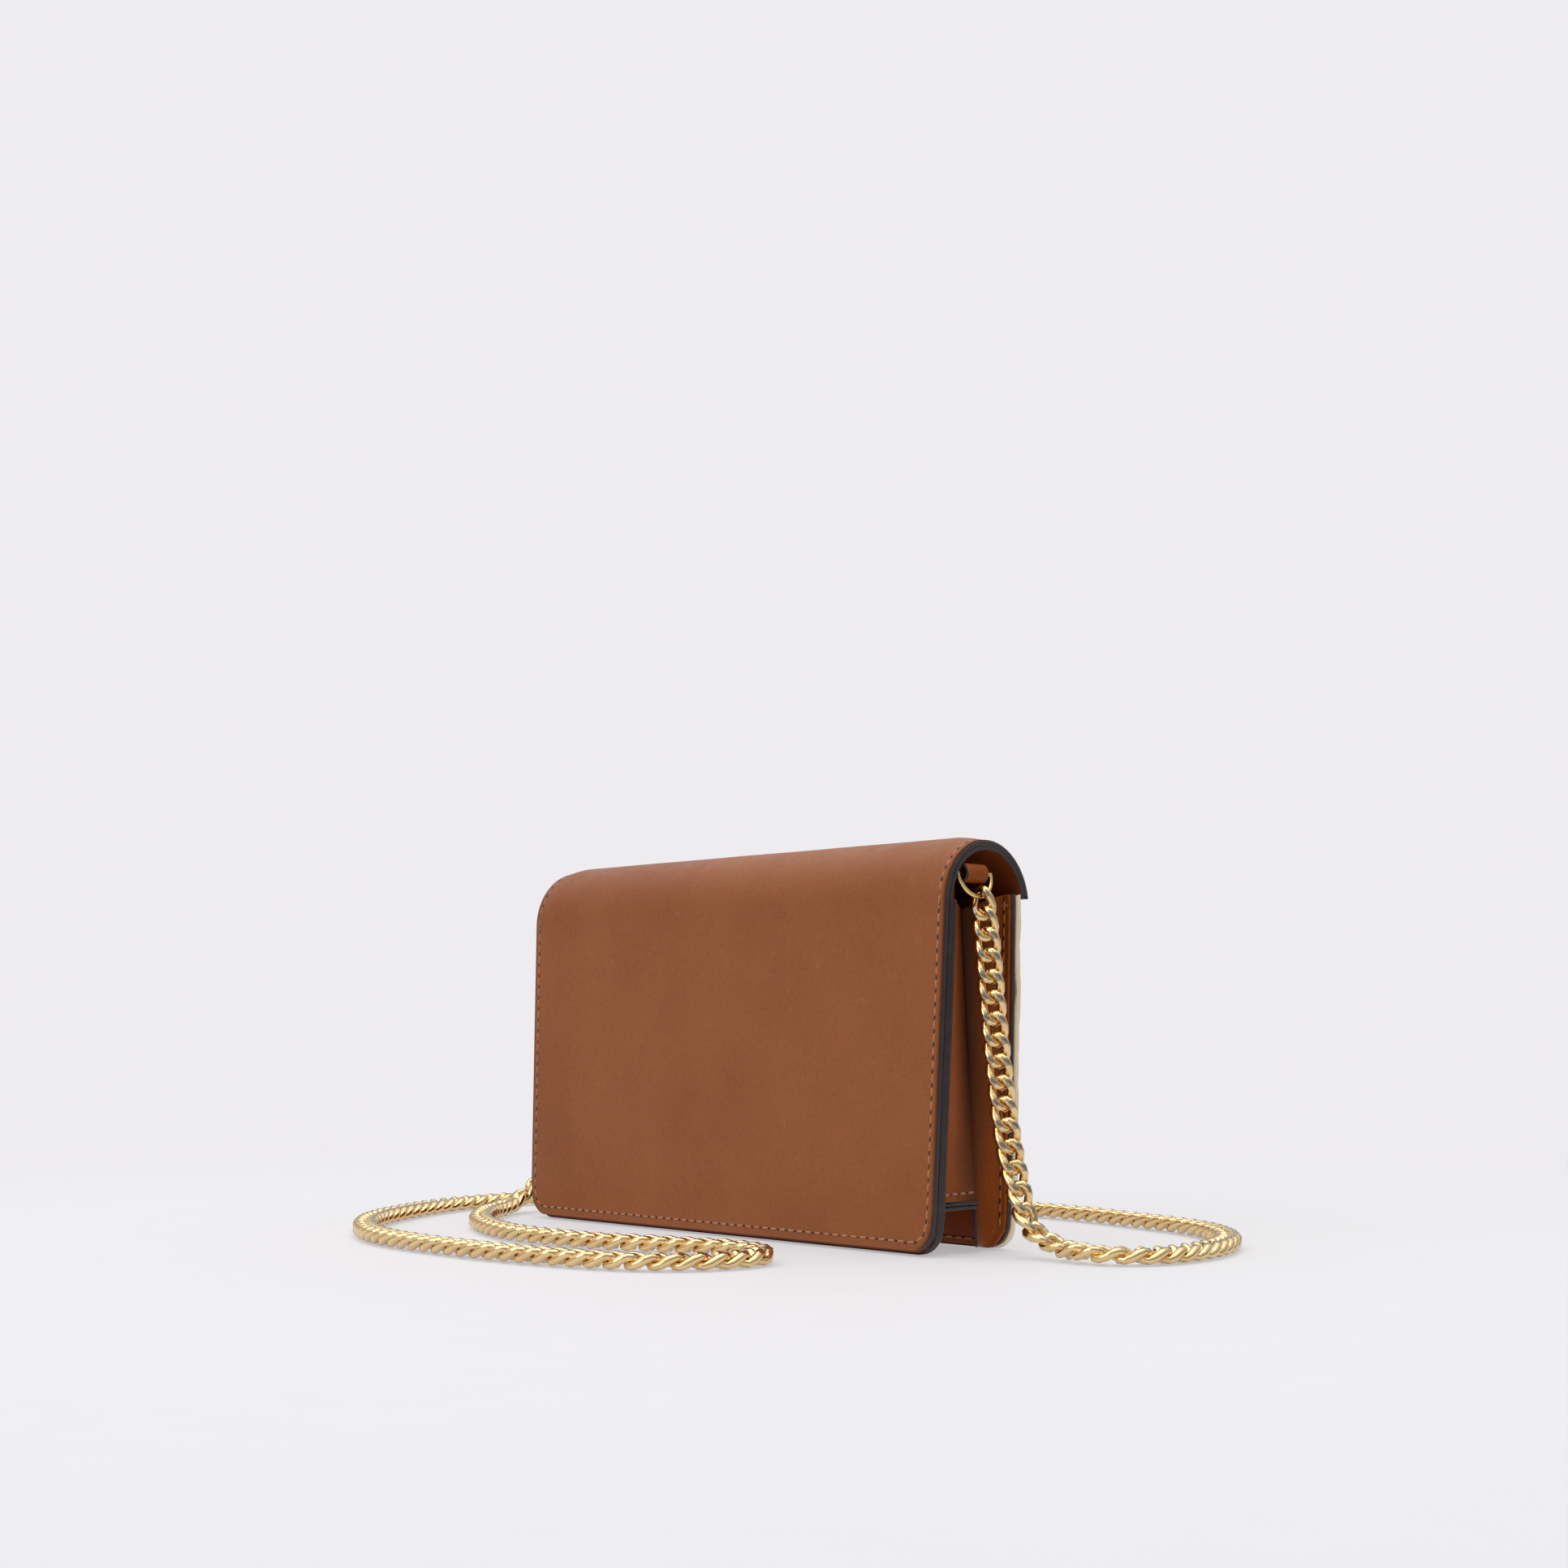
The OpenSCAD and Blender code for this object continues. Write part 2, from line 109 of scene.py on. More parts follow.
class Amount:
    """A number that varies over a surface; plain sums on it add their Math nodes."""

    def __init__(self, finish, socket):
        self.finish, self.socket = finish, socket

    def _sum(self, operation, a, b):
        return self.finish.node("ShaderNodeMath", {0: a, 1: b}, operation=operation)

    def __add__(self, other):
        return self._sum("ADD", self, other)

    def __radd__(self, other):
        return self._sum("ADD", other, self)

    def __sub__(self, other):
        return self._sum("SUBTRACT", self, other)

    def __rsub__(self, other):
        return self._sum("SUBTRACT", other, self)

    def __mul__(self, other):
        return self._sum("MULTIPLY", self, other)

    def __rmul__(self, other):
        return self._sum("MULTIPLY", other, self)


class Finish:
    """A material whose nodes are added one call at a time."""

    def __init__(self, name, **sockets):
        self.material = bpy.data.materials.new(name)
        self.material.use_nodes = True
        self.tree = self.material.node_tree
        self.shader = self.tree.nodes["Principled BSDF"]
        self.shade({key.replace("_", " "): value for key, value in sockets.items()})

    def feed(self, socket, value):
        if isinstance(value, Amount):
            self.tree.links.new(value.socket, socket)
        else:
            socket.default_value = value

    def node(self, kind, sockets=None, output=0, stops=None, **settings):
        made = self.tree.nodes.new(kind)
        for key, value in settings.items():
            setattr(made, key, value)
        if stops:
            ramp = made.color_ramp
            while len(ramp.elements) < len(stops):
                ramp.elements.new(0.5)
            for element, (position, colour) in zip(ramp.elements, stops):
                element.position, element.color = position, colour
        for key, value in (sockets or {}).items():
            self.feed(made.inputs[key], value)
        return Amount(self, made.outputs[output])

    def shade(self, sockets):
        for key, value in sockets.items():
            self.feed(self.shader.inputs[key], value)
        return self

    def place(self):
        return self.node("ShaderNodeTexCoord", output="Object")

    def noise(self, where, scale, detail=3.0, roughness=0.55):
        return self.node("ShaderNodeTexNoise", {"Vector": where, "Scale": scale,
                                                "Detail": detail, "Roughness": roughness})

    def cells(self, where, scale):
        return self.node("ShaderNodeTexVoronoi", {"Vector": where, "Scale": scale},
                         output="Distance")

    def step(self, value, low, high, to_low=0.0, to_high=1.0):
        return self.node("ShaderNodeMapRange", {
            "Value": value, "From Min": low, "From Max": high,
            "To Min": to_low, "To Max": to_high}, interpolation_type="SMOOTHSTEP")

    def tint(self, factor, a, b):
        return self.node("ShaderNodeMix", {0: factor, 6: a, 7: b}, output=2, data_type="RGBA")

    def turn_between(self, factor, a, b):
        return self.node("ShaderNodeMix", {0: factor, 4: a, 5: b}, output=1, data_type="VECTOR")

    def mark(self, name):
        return self.node("ShaderNodeAttribute", output="Fac", attribute_name=name)

    def relief(self, height, distance, strength=1.0, under=None):
        sockets = {"Height": height, "Distance": distance, "Strength": strength}
        if under is not None:
            sockets["Normal"] = under
        return self.node("ShaderNodeBump", sockets)


def rgb(code):
    """A finish colour from its six-figure hex code, as linear light."""
    parts = [int(code[i:i + 2], 16) / 255 for i in (0, 2, 4)]
    return [c / 12.92 if c <= 0.04045 else ((c + 0.055) / 1.055) ** 2.4 for c in parts] + [1]


def leather_finish(name, light, dark, paint="352B2C", roughness=0.42, grain=0.00003, shine=0.2):
    """Smooth dyed leather, its cut edges covered with dark edge paint, with painted shade darkening
    it where a piece marks its folds.
    """
    finish = Finish(name, Specular_IOR_Level=shine)
    where = finish.place()
    cloud = finish.noise(where, 22, 4)
    fine = finish.noise(where, 900, 3)
    pores = finish.cells(where, 1500)
    rub = finish.noise(where, 140, 5, 0.65)
    paint_mask = finish.step(finish.mark("edge"), 0.72, 0.86)
    tone = finish.tint(finish.step(cloud, 0.34, 0.68), light, dark)
    tone = finish.tint(finish.step(fine, 0.35, 0.75, 0, 0.16), tone, rgb("3A1A0B"))
    tone = finish.tint(finish.step(rub, 0.6, 0.8, 0, 0.12), tone, rgb("C08A5E"))
    # painted shade: the colour turns nearly black-brown where a piece marks the shade in its folds
    tone = finish.tint(finish.mark("fold_shade") * 0.93, tone, rgb("190801"))
    flecks = finish.tint(finish.step(rub, 0.45, 0.8, 0, 0.35), rgb(paint), rgb("554848"))
    bare = finish.relief(fine * 0.5 + pores * 0.35, grain, 0.7,
                         finish.relief(cloud + rub * 0.35, 0.00012, 0.5))
    painted = finish.relief(rub, 0.00006, 0.6)
    return finish.shade({
        "Base Color": finish.tint(paint_mask, tone, flecks),
        "Roughness": finish.step(rub, 0.3, 0.75, roughness - 0.05, roughness + 0.09)
        * (1 - 0.28 * paint_mask),
        "Coat Weight": 0.05 + 0.3 * paint_mask,
        "Coat Roughness": 0.32,
        "Normal": finish.turn_between(paint_mask, bare, painted),
    })


def thread_finish(name, colour, hole_shade):
    """Twisted thread, with painted shade darkening the needle holes at its ends and the groove it
    lies in.
    """
    finish = Finish(name, Specular_IOR_Level=0.35)
    where = finish.place()
    fibre = finish.noise(where, 2600, 2)
    # painted shade of the needle holes and the pressed groove, where the stitch marks them
    hole_shade_mask = finish.step(finish.mark("hole_shade"), 0.1, 1.0)
    tone = finish.tint(finish.step(fibre, 0.3, 0.7), colour, [c * 0.55 for c in colour[:3]] + [1])
    return finish.shade({
        "Base Color": finish.tint(hole_shade_mask, tone, hole_shade),
        "Roughness": finish.step(fibre, 0.3, 0.7, 0.28, 0.5),
        "Normal": finish.relief(fibre, 0.00008, 0.8),
    })


def plated_finish(name, colour, cut, tarnish):
    """Polished plating, with diamond-cut flats where the mark says so, coloured greyer there as a
    painted reflection of darker surroundings.
    """
    finish = Finish(name, Metallic=1.0)
    where = finish.place()
    smear = finish.noise(where, 180, 4)
    brushed = finish.noise(where, 2400, 2)
    flat = finish.step(finish.mark("cut"), 0.45, 0.55)
    worn = finish.tint(finish.step(smear, 0.35, 0.75, 0, 0.5), colour, tarnish)
    return finish.shade({
        # the cut flats take a greyer colour: a painted reflection
        "Base Color": finish.tint(flat, worn, cut),
        "Roughness": finish.step(smear, 0.3, 0.7, 0.07, 0.16) + flat * 0.08,
        "Normal": finish.relief(brushed, 0.00001, 0.25),
    })


def embossed_finish(name):
    """Metallic leather pressed with a scale pattern, brown in its creases."""
    finish = Finish(name, Specular_IOR_Level=0.5)
    where = finish.place()
    fine = finish.noise(where, 1100, 3)
    foil = finish.noise(where, 260, 5, 0.7)
    crease = finish.step(finish.mark("crease") + (fine - 0.5) * 0.3, 0.42, 0.9)
    paint_mask = finish.step(finish.mark("edge"), 0.3, 0.9)
    face = finish.tint(finish.step(foil, 0.35, 0.7), rgb("EBD7AE"), rgb("D8BB86"))
    face = finish.tint(crease, face, rgb("86602F"))
    face = finish.tint(paint_mask, face, rgb("F4E2C0"))
    return finish.shade({
        "Base Color": face,
        "Metallic": (0.82 - 0.45 * crease) * (1 - 0.9 * paint_mask),
        "Roughness": finish.step(foil, 0.3, 0.75, 0.26, 0.44) + crease * 0.15,
        "Normal": finish.relief(foil + fine * 0.3, 0.0001, 0.55),
    })


def woven_finish(name, colour, shade, pitch):
    """Plain weave: threads across and along, darker in the gaps between them as painted shade."""
    finish = Finish(name, Roughness=0.85, Sheen_Weight=0.25, Specular_IOR_Level=0.2)
    where = finish.place()
    warp = finish.node("ShaderNodeTexWave", {"Vector": where, "Scale": 1 / pitch * 0.32},
                       output="Fac", bands_direction="X")
    weft = finish.node("ShaderNodeTexWave", {"Vector": where, "Scale": 1 / pitch * 0.32},
                       output="Fac", bands_direction="DIAGONAL")
    cloth = warp * weft
    return finish.shade({
        # the darker colour in the gaps between threads is painted shade
        "Base Color": finish.tint(cloth, shade, colour),
        "Normal": finish.relief(cloth, 0.0001, 0.8),
    })


def steel_finish(name, colour):
    """Rough plain steel, hidden under the leather."""
    finish = Finish(name, Specular_IOR_Level=0.3)
    where = finish.place()
    rough = finish.noise(where, 420, 5, 0.7)
    return finish.shade({
        "Base Color": finish.tint(finish.step(rough, 0.3, 0.7), colour,
                                  [c * 0.6 for c in colour[:3]] + [1]),
        "Roughness": finish.step(rough, 0.3, 0.7, 0.6, 0.85),
        "Normal": finish.relief(rough, 0.0001, 0.5),
    })


TAN = leather_finish("tan_leather", rgb("90532C"), rgb("884C26")).material
GUSSET_TAN = leather_finish("gusset_leather", rgb("9A4D17"), rgb("8A4311"), roughness=0.5,
                            grain=0.00026, shine=0.12).material
INNER_TAN = leather_finish("inner_leather", rgb("894419"), rgb("7C3B14"),
                           roughness=0.4).material
# The thread's second colour is painted shade for its needle holes and groove.
THREAD = thread_finish("tan_thread", rgb("C47D4C"), rgb("2C0B02")).material
# In both platings the second colour is a painted reflection: the greyer tone of cut flats mirroring
# darker surroundings, carried only by the chain's links.
GOLD = plated_finish("pale_gold_plating", rgb("EBCD99"), rgb("A89B88"), rgb("D9AE70")).material
RING_GOLD = plated_finish("ring_plating", rgb("EBCB8E"), rgb("9A9184"), rgb("CFA860")).material
EMBOSSED = embossed_finish("gold_scale_leather").material
# In both weaves the darker second colour is painted shade for the gaps between threads.
TAPE = woven_finish("zip_tape_weave", rgb("5A3820"), rgb("2E1B0F"), 0.0006).material
POCKET = woven_finish("pocket_twill", rgb("A67A56"), rgb("7E5839"), 0.0005).material
STEEL = steel_finish("magnet_steel", rgb("55565A")).material


# ---------------------------------------------------------------- mesh helpers

def add_mesh(name, points, faces, finish, marks=None, flat_faces=None):
    """A smooth mesh object at the origin, its points given in millimetres."""
    mesh = bpy.data.meshes.new(name)
    mesh.from_pydata((np.asarray(points) * MM).tolist(), [], faces)
    mesh.polygons.foreach_set("use_smooth", [True] * len(mesh.polygons))
    for key, values in (marks or {}).items():
        mark = mesh.attributes.new(key, "FLOAT", "POINT")
        mark.data.foreach_set("value", np.asarray(values, np.float32))
    if flat_faces is not None:
        mesh.polygons.foreach_set("use_smooth", [not f for f in flat_faces])
    mesh.materials.append(finish)
    mesh.update()
    piece = bpy.data.objects.new(name, mesh)
    bpy.context.scene.collection.objects.link(piece)
    return piece


def unit(v):
    """Vectors at length one."""
    return v / np.maximum(np.linalg.norm(v, axis=-1, keepdims=True), 1e-9)


def grid_normals(grid):
    """The facing of a grid of points at each of them."""
    return unit(np.cross(np.gradient(grid, axis=0), np.gradient(grid, axis=1)))


def slab(name, grid, lip, depth, finish, flip=False, relief=None, marks=None,
         painted=None, steps=4):
    """A closed sheet below a grid of points on its outer face, its rim rounded by lip.

    depth is one thickness or one for each point. relief lifts the outer face, and
    painted says where the edge paint goes.
    """
    grid = np.asarray(grid, float)
    rows, columns = grid.shape[:2]
    normals = grid_normals(grid) * (-1 if flip else 1)
    loop = ([(0, j) for j in range(columns)]
            + [(i, columns - 1) for i in range(1, rows)]
            + [(rows - 1, j) for j in range(columns - 2, -1, -1)]
            + [(i, 0) for i in range(rows - 2, 0, -1)])
    rim_rows, rim_columns = np.array(loop).T
    edge = grid[rim_rows, rim_columns]
    edge_normals = normals[rim_rows, rim_columns]
    along = unit(np.roll(edge, -1, axis=0) - np.roll(edge, 1, axis=0))
    out = unit(np.cross(along, edge_normals))
    middle = grid.reshape(-1, 3).mean(axis=0)
    if np.sum((edge - middle) * out) < 0:
        out = -out
    depth = np.broadcast_to(depth, grid.shape[:2])[..., None]
    upper, lower = grid.copy(), grid - normals * depth
    if relief is not None:
        upper = upper + normals * relief[..., None]
    base, edge_depth = edge - out * lip, depth[rim_rows, rim_columns]
    upper[rim_rows, rim_columns] = base
    lower[rim_rows, rim_columns] = base - edge_normals * edge_depth
    rings = [base + out * lip * math.sin(a) - edge_normals * edge_depth * (1 - math.cos(a)) / 2
             for a in np.linspace(0, math.pi, steps + 1)[1:-1]]
    points = np.concatenate([upper.reshape(-1, 3), lower.reshape(-1, 3)] + rings)
    count = rows * columns
    at = np.arange(count).reshape(rows, columns)
    chains = ([at[rim_rows, rim_columns]]
              + [2 * count + k * len(loop) + np.arange(len(loop)) for k in range(len(rings))]
              + [at[rim_rows, rim_columns] + count])
    faces = []
    for i in range(rows - 1):
        for j in range(columns - 1):
            a, b, c, d = at[i, j], at[i, j + 1], at[i + 1, j + 1], at[i + 1, j]
            faces.append((a, b, c, d))
            faces.append((d + count, c + count, b + count, a + count))
    for first, second in zip(chains, chains[1:]):
        for k in range(len(loop)):
            n = (k + 1) % len(loop)
            faces.append((first[n], first[k], second[k], second[n]))
    a, b, c = (points[k] for k in faces[0][:3])
    if np.dot(np.cross(b - a, c - b), normals[0, 0]) < 0:
        faces = [face[::-1] for face in faces]
    edge_mark = np.zeros(len(points))
    amount = np.ones(len(loop)) if painted is None else painted(edge)
    for chain in chains:
        edge_mark[chain] = amount
    own = {"edge": edge_mark}
    for key, values in (marks or {}).items():
        own[key] = np.concatenate([values.ravel(), np.zeros(count),
                                   np.tile(values[rim_rows, rim_columns], len(rings))])
    return add_mesh(name, points, [tuple(int(v) for v in f) for f in faces], finish, own)


def joined(name, pieces):
    """One piece from several, with their marks and finishes kept."""
    with bpy.context.temp_override(active_object=pieces[0], selected_editable_objects=pieces,
                                   selected_objects=pieces, object=pieces[0]):
        bpy.ops.object.join()
    pieces[0].name = pieces[0].data.name = name
    return pieces[0]


def spread(first, last, count, lip=0.5):
    """Even places from first to last, with one more close to each end."""
    sign = 1 if last > first else -1
    inside = np.linspace(first, last, count)[1:-1]
    return np.concatenate([[first, first + sign * lip], inside, [last - sign * lip, last]])


def smooth_line(points, step):
    """Points evenly spaced on a smooth curve through the given points."""
    p = np.asarray(points, float)
    p = np.vstack([2 * p[0] - p[1], p, 2 * p[-1] - p[-2]])
    t = np.linspace(0, 1, 17)[:-1, None]
    line = [p[1:2]]
    for k in range(1, len(p) - 2):
        a, b, c, d = p[k - 1:k + 3]
        line.append(0.5 * (2 * b + (c - a) * t + (2 * a - 5 * b + 4 * c - d) * t ** 2
                           + (3 * b - a - 3 * c + d) * t ** 3)[1 if k == 1 else 0:])
    line = np.vstack(line + [p[-2:-1]])
    gone = np.concatenate([[0], np.cumsum(np.linalg.norm(np.diff(line, axis=0), axis=1))])
    count = max(int(round(gone[-1] / step)), 2)
    places = np.linspace(0, gone[-1], count + 1)
    return np.stack([np.interp(places, gone, line[:, k]) for k in range(3)], axis=1)


# ---------------------------------------------------------------- repeats along a line

def repeat_tree():
    """Items set along a line at a pitch, upright on the line's own facing."""
    tree = bpy.data.node_groups.new("items_along_line", "GeometryNodeTree")
    for name, kind in (("Line", "Geometry"), ("Pitch", "Float"), ("Item", "Object"),
                       ("Finish", "Material")):
        tree.interface.new_socket(name, in_out="INPUT", socket_type="NodeSocket" + kind)
    tree.interface.new_socket("Items", in_out="OUTPUT", socket_type="NodeSocketGeometry")

    def node(kind, links=(), **settings):
        n = tree.nodes.new(kind)
        for key, value in settings.items():
            setattr(n, key, value)
        for key, source in links:
            tree.links.new(source, n.inputs[key])
        return n

    start = node("NodeGroupInput")
    line = node("GeometryNodeMeshToCurve", [("Mesh", start.outputs["Line"])])
    paced = node("GeometryNodeResampleCurve", [("Curve", line.outputs["Curve"]),
                                               ("Length", start.outputs["Pitch"])],
                 mode="LENGTH")
    facing = node("GeometryNodeInputNamedAttribute", data_type="FLOAT_VECTOR")
    facing.inputs["Name"].default_value = "facing"
    along = node("GeometryNodeInputTangent")
    turn = node("FunctionNodeAxesToRotation",
                [("Primary Axis", along.outputs["Tangent"]),
                 ("Secondary Axis", facing.outputs["Attribute"])],
                primary_axis="X", secondary_axis="Z")
    item = node("GeometryNodeObjectInfo", [("Object", start.outputs["Item"])])
    placed = node("GeometryNodeInstanceOnPoints",
                  [("Points", paced.outputs["Curve"]),
                   ("Instance", item.outputs["Geometry"]),
                   ("Rotation", turn.outputs["Rotation"])])
    real = node("GeometryNodeRealizeInstances", [("Geometry", placed.outputs["Instances"])])
    done = node("GeometryNodeSetMaterial", [("Geometry", real.outputs["Geometry"]),
                                            ("Material", start.outputs["Finish"])])
    node("NodeGroupOutput", [("Items", done.outputs["Geometry"])])
    return tree


REPEAT = repeat_tree()


def repeated(name, lines, pitch, item, finish):
    """A piece of items along lines, each line a pair of its points and its facings."""
    points, facings, edges = [], [], []
    for line, facing in lines:
        first = len(points)
        points.extend((np.asarray(line) * MM).tolist())
        facings.extend(np.broadcast_to(facing, np.shape(line)).tolist())
        edges.extend((first + k, first + k + 1) for k in range(len(line) - 1))
    mesh = bpy.data.meshes.new(name + "_line")
    mesh.from_pydata(points, edges, [])
    mark = mesh.attributes.new("facing", "FLOAT_VECTOR", "POINT")
    mark.data.foreach_set("vector", np.asarray(facings, np.float32).ravel())
    holder = bpy.data.objects.new(name + "_line", mesh)
    bpy.context.scene.collection.objects.link(holder)
    modifier = holder.modifiers.new("items", "NODES")
    modifier.node_group = REPEAT
    given = {"Pitch": pitch * MM, "Item": item, "Finish": finish}
    for socket in REPEAT.interface.items_tree:
        if socket.item_type == "SOCKET" and socket.name in given:
            modifier[socket.identifier] = given[socket.name]
    bpy.context.view_layer.update()
    ready = holder.evaluated_get(bpy.context.evaluated_depsgraph_get())
    result = bpy.data.meshes.new_from_object(ready)
    result.name = name
    result.attributes.remove(result.attributes["facing"])
    bpy.data.objects.remove(holder)
    piece = bpy.data.objects.new(name, result)
    bpy.context.scene.collection.objects.link(piece)
    return piece


def tube(points, radii, sides, squash=1.0):
    """Points and faces of a capped tube along the X axis of its own frame."""
    rings, faces = [], []
    for x, radius in zip(points, radii):
        for k in range(sides):
            a = 2 * math.pi * (k + 0.5) / sides
            rings.append((x, radius * math.cos(a), radius * math.sin(a) * squash))
    for i in range(len(points) - 1):
        for k in range(sides):
            a, b = i * sides + k, i * sides + (k + 1) % sides
            faces.append((a, a + sides, b + sides, b))
    faces.append(tuple(range(sides)))
    faces.append(tuple(reversed(range((len(points) - 1) * sides, len(points) * sides))))
    return rings, [tuple(reversed(f)) for f in faces]


def stitch_item(length=2.8, radius=0.34, pitch=3.8):
    """One stitch of thread in its pressed groove, drawn over a half-dark strip of painted shade,
    and a dark disc of painted shade at the needle's pit after it.
    """
    half = length / 2
    body, faces = tube([-half, -half * 0.8, -half * 0.3, half * 0.3, half * 0.8, half],
                       [0.1, radius * 0.85, radius, radius, radius * 0.85, 0.1], 6, 0.75)
    body = [(x, y, z - 0.02 - 0.2 * (abs(x) / half) ** 4) for x, y, z in body]
    # The dark disc after the stitch is painted shade standing for the needle's pit.
    hole_shade = [0.0] * len(body) + [1.0] * 18
    first = len(body)
    body.append((pitch / 2, 0, 0.03))
    for level in (0.035, -0.1):
        body += [(pitch / 2 + 0.8 * math.cos(math.pi * k / 4), 0.3 * math.sin(math.pi * k / 4),
                  level) for k in range(8)]
    body.append((pitch / 2, 0, -0.1))
    for k in range(8):
        n = (k + 1) % 8
        faces.append((first, first + 1 + k, first + 1 + n))
        faces.append((first + 1 + n, first + 1 + k, first + 9 + k, first + 9 + n))
        faces.append((first + 17, first + 9 + n, first + 9 + k))
    # A half-dark strip under the stitch is painted shade for the pressed groove.
    first = len(body)
    body += [(x * pitch / 2, y * 0.42, z) for z in (-0.1, 0.015)
             for x, y in ((-1, -1), (1, -1), (1, 1), (-1, 1))]
    hole_shade += [0.5] * 8
    faces += [tuple(first + k for k in face) for face in
              ((3, 2, 1, 0), (4, 5, 6, 7), (0, 1, 5, 4), (1, 2, 6, 5), (2, 3, 7, 6), (3, 0, 4, 7))]
    return add_mesh("stitch_item", body, faces, THREAD, {"hole_shade": hole_shade})


def link_item(length=4.3, width=2.8, lift=-1.4, wire=1.3, cut=2.25, turns=14, sides=8):
    """One curb link: an oval twisted out of its plane, with flats cut on both faces."""
    t = np.linspace(0, 2 * math.pi, turns, endpoint=False)
    line = np.stack([length * np.cos(t), width * np.sin(t), lift * np.sin(2 * t)], axis=1)
    along = unit(np.stack([-length * np.sin(t), width * np.cos(t),
                           2 * lift * np.cos(2 * t)], axis=1))
    across = unit(np.cross(along, [0, 0, 1.0]))
    up = np.cross(across, along)
    points, marks = [], []
    for k in range(turns):
        for s in range(sides):
            a = 2 * math.pi * (s + 0.5) / sides
            p = line[k] + wire * (math.cos(a) * across[k] + math.sin(a) * up[k])
            marks.append(1.0 if abs(p[2]) > cut else 0.0)
            p[2] = min(max(p[2], -cut), cut)
            points.append(p)
    faces, flats = [], []
    for k in range(turns):
        for s in range(sides):
            a, b = k * sides + s, k * sides + (s + 1) % sides
            c, d = (b + sides) % (turns * sides), (a + sides) % (turns * sides)
            faces.append((a, b, c, d))
            flats.append(sum(marks[v] for v in (a, b, c, d)) >= 3.5)
    a, b, c = (points[v] for v in faces[0][:3])
    if np.dot(np.cross(b - a, c - b), np.mean([points[v] for v in faces[0]], axis=0)
              - line[0]) < 0:
        faces = [f[::-1] for f in faces]
    return add_mesh("link_item", points, faces, GOLD, {"cut": marks}, flats)


STITCH = stitch_item()
LINK = link_item()


# ---------------------------------------------------------------- chain

def chain_facing(gone, total, side_in, side_out):
    """Facing of the links: turned to the side where the chain hangs, upwards on the floor."""
    down = np.clip((gone - CHAIN_LIES_FLAT_FROM) / CHAIN_TURN, 0, 1)
    up = np.clip((total - gone - CHAIN_LIES_FLAT_FROM) / CHAIN_TURN, 0, 1)
    down, up = down ** 2 * (3 - 2 * down), up ** 2 * (3 - 2 * up)
    top = np.clip(gone / 14, 0, 1)
    first = (1 - top) * np.array([-0.4, 0.92, 0]) + top * np.array(side_in)
    facing = (1 - down) * first + down * up * np.array([0, 0, 1.0]) \
        + (1 - up) * np.array(side_out)
    return unit(facing)


def make_chain():
    """The strap in three lengths of links, each with the points it runs through."""
    floor_z = 2.7
    route = [(-98.5, 1.7, 100.6), (-100, 1.6, 90), (-102.5, 1.1, 62), (-105.5, 0.1, 35),
             (-108.5, -0.9, 20), (-113, -0.9, 9.3), (-121, -1.9, 4.2), (-138, -1.9, 3.1),
             (-148, -14.9, floor_z), (-146.5, -40, floor_z), (-133, -66.5, floor_z),
             (-107.5, -88, floor_z), (-74, -99, floor_z), (-30, -106.9, floor_z),
             (20, -106.9, floor_z), (65, -98.9, floor_z), (103, -78.9, floor_z),
             (128, -46.9, floor_z), (137, -10.9, floor_z), (133, 23.1, floor_z),
             (120.5, 49.5, floor_z), (101, 77, floor_z), (76, 97.6, floor_z),
             (45, 111.1, floor_z), (8, 114.1, floor_z), (-30, 111.1, floor_z),
             (-60, 102.1, floor_z), (-75, 85.1, floor_z), (-74, 67.1, floor_z),
             (-57, 59.1, floor_z), (-35, 64.1, floor_z), (-5, 74.1, floor_z),
             (30, 74.5, floor_z), (64, 61.5, floor_z), (91, 40.5, 2.9), (108.5, 19.5, 3.2),
             (112.5, 7.1, 8), (108, 2.1, 22), (103, 1.6, 60), (98.5, 1.7, 100.6)]
    line = smooth_line(route, LINK_PITCH)
    links = len(line)
    pitch = np.linalg.norm(np.diff(line, axis=0), axis=1).mean()
    gone = np.arange(links) * pitch
    facings = [chain_facing(s, gone[-1], (-0.72, 0.69, 0), (0.72, 0.69, 0)) for s in gone]
    parts = (("chain_left", 0, LINKS_HANGING),
             ("chain_floor", LINKS_HANGING, links - LINKS_HANGING),
             ("chain_right", links - LINKS_HANGING, links))
    made = []
    for name, first, last in parts:
        piece = repeated(name, [(line[first:last], np.array(facings[first:last]))],
                         pitch * 0.999, LINK, GOLD)
        ends = line[max(first - 1, 0):last + 1] if name == "chain_floor" else line[first:last]
        if name == "chain_right":
            ends = ends[::-1]
        made.append((piece, ends * MM))
    return made


chain = make_chain()
for piece, path in chain:
    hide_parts("chain_strap")
chain_left, chain_floor, chain_right = (piece for piece, path in chain)
for piece, ring, x in ((chain_left, "ring_left", -0.1), (chain_right, "ring_right", 0.1)):
    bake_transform(piece)
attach(chain_floor, "root")


# ---------------------------------------------------------------- shell, walls and front

def side_x(z):
    """Half width of the body at a height, narrower towards the foot."""
    return HALF_W - SIDE_FLARE * np.maximum(0, 1 - z / FOLD_H)


def flap_edge(x):
    """Height of the flap's lower edge across its width: a tongue, lowest in the middle."""
    return TONGUE_Z + (FLAP_SIDE_Z - TONGUE_Z) * (1 - np.cos(np.pi * x / HALF_W)) / 2


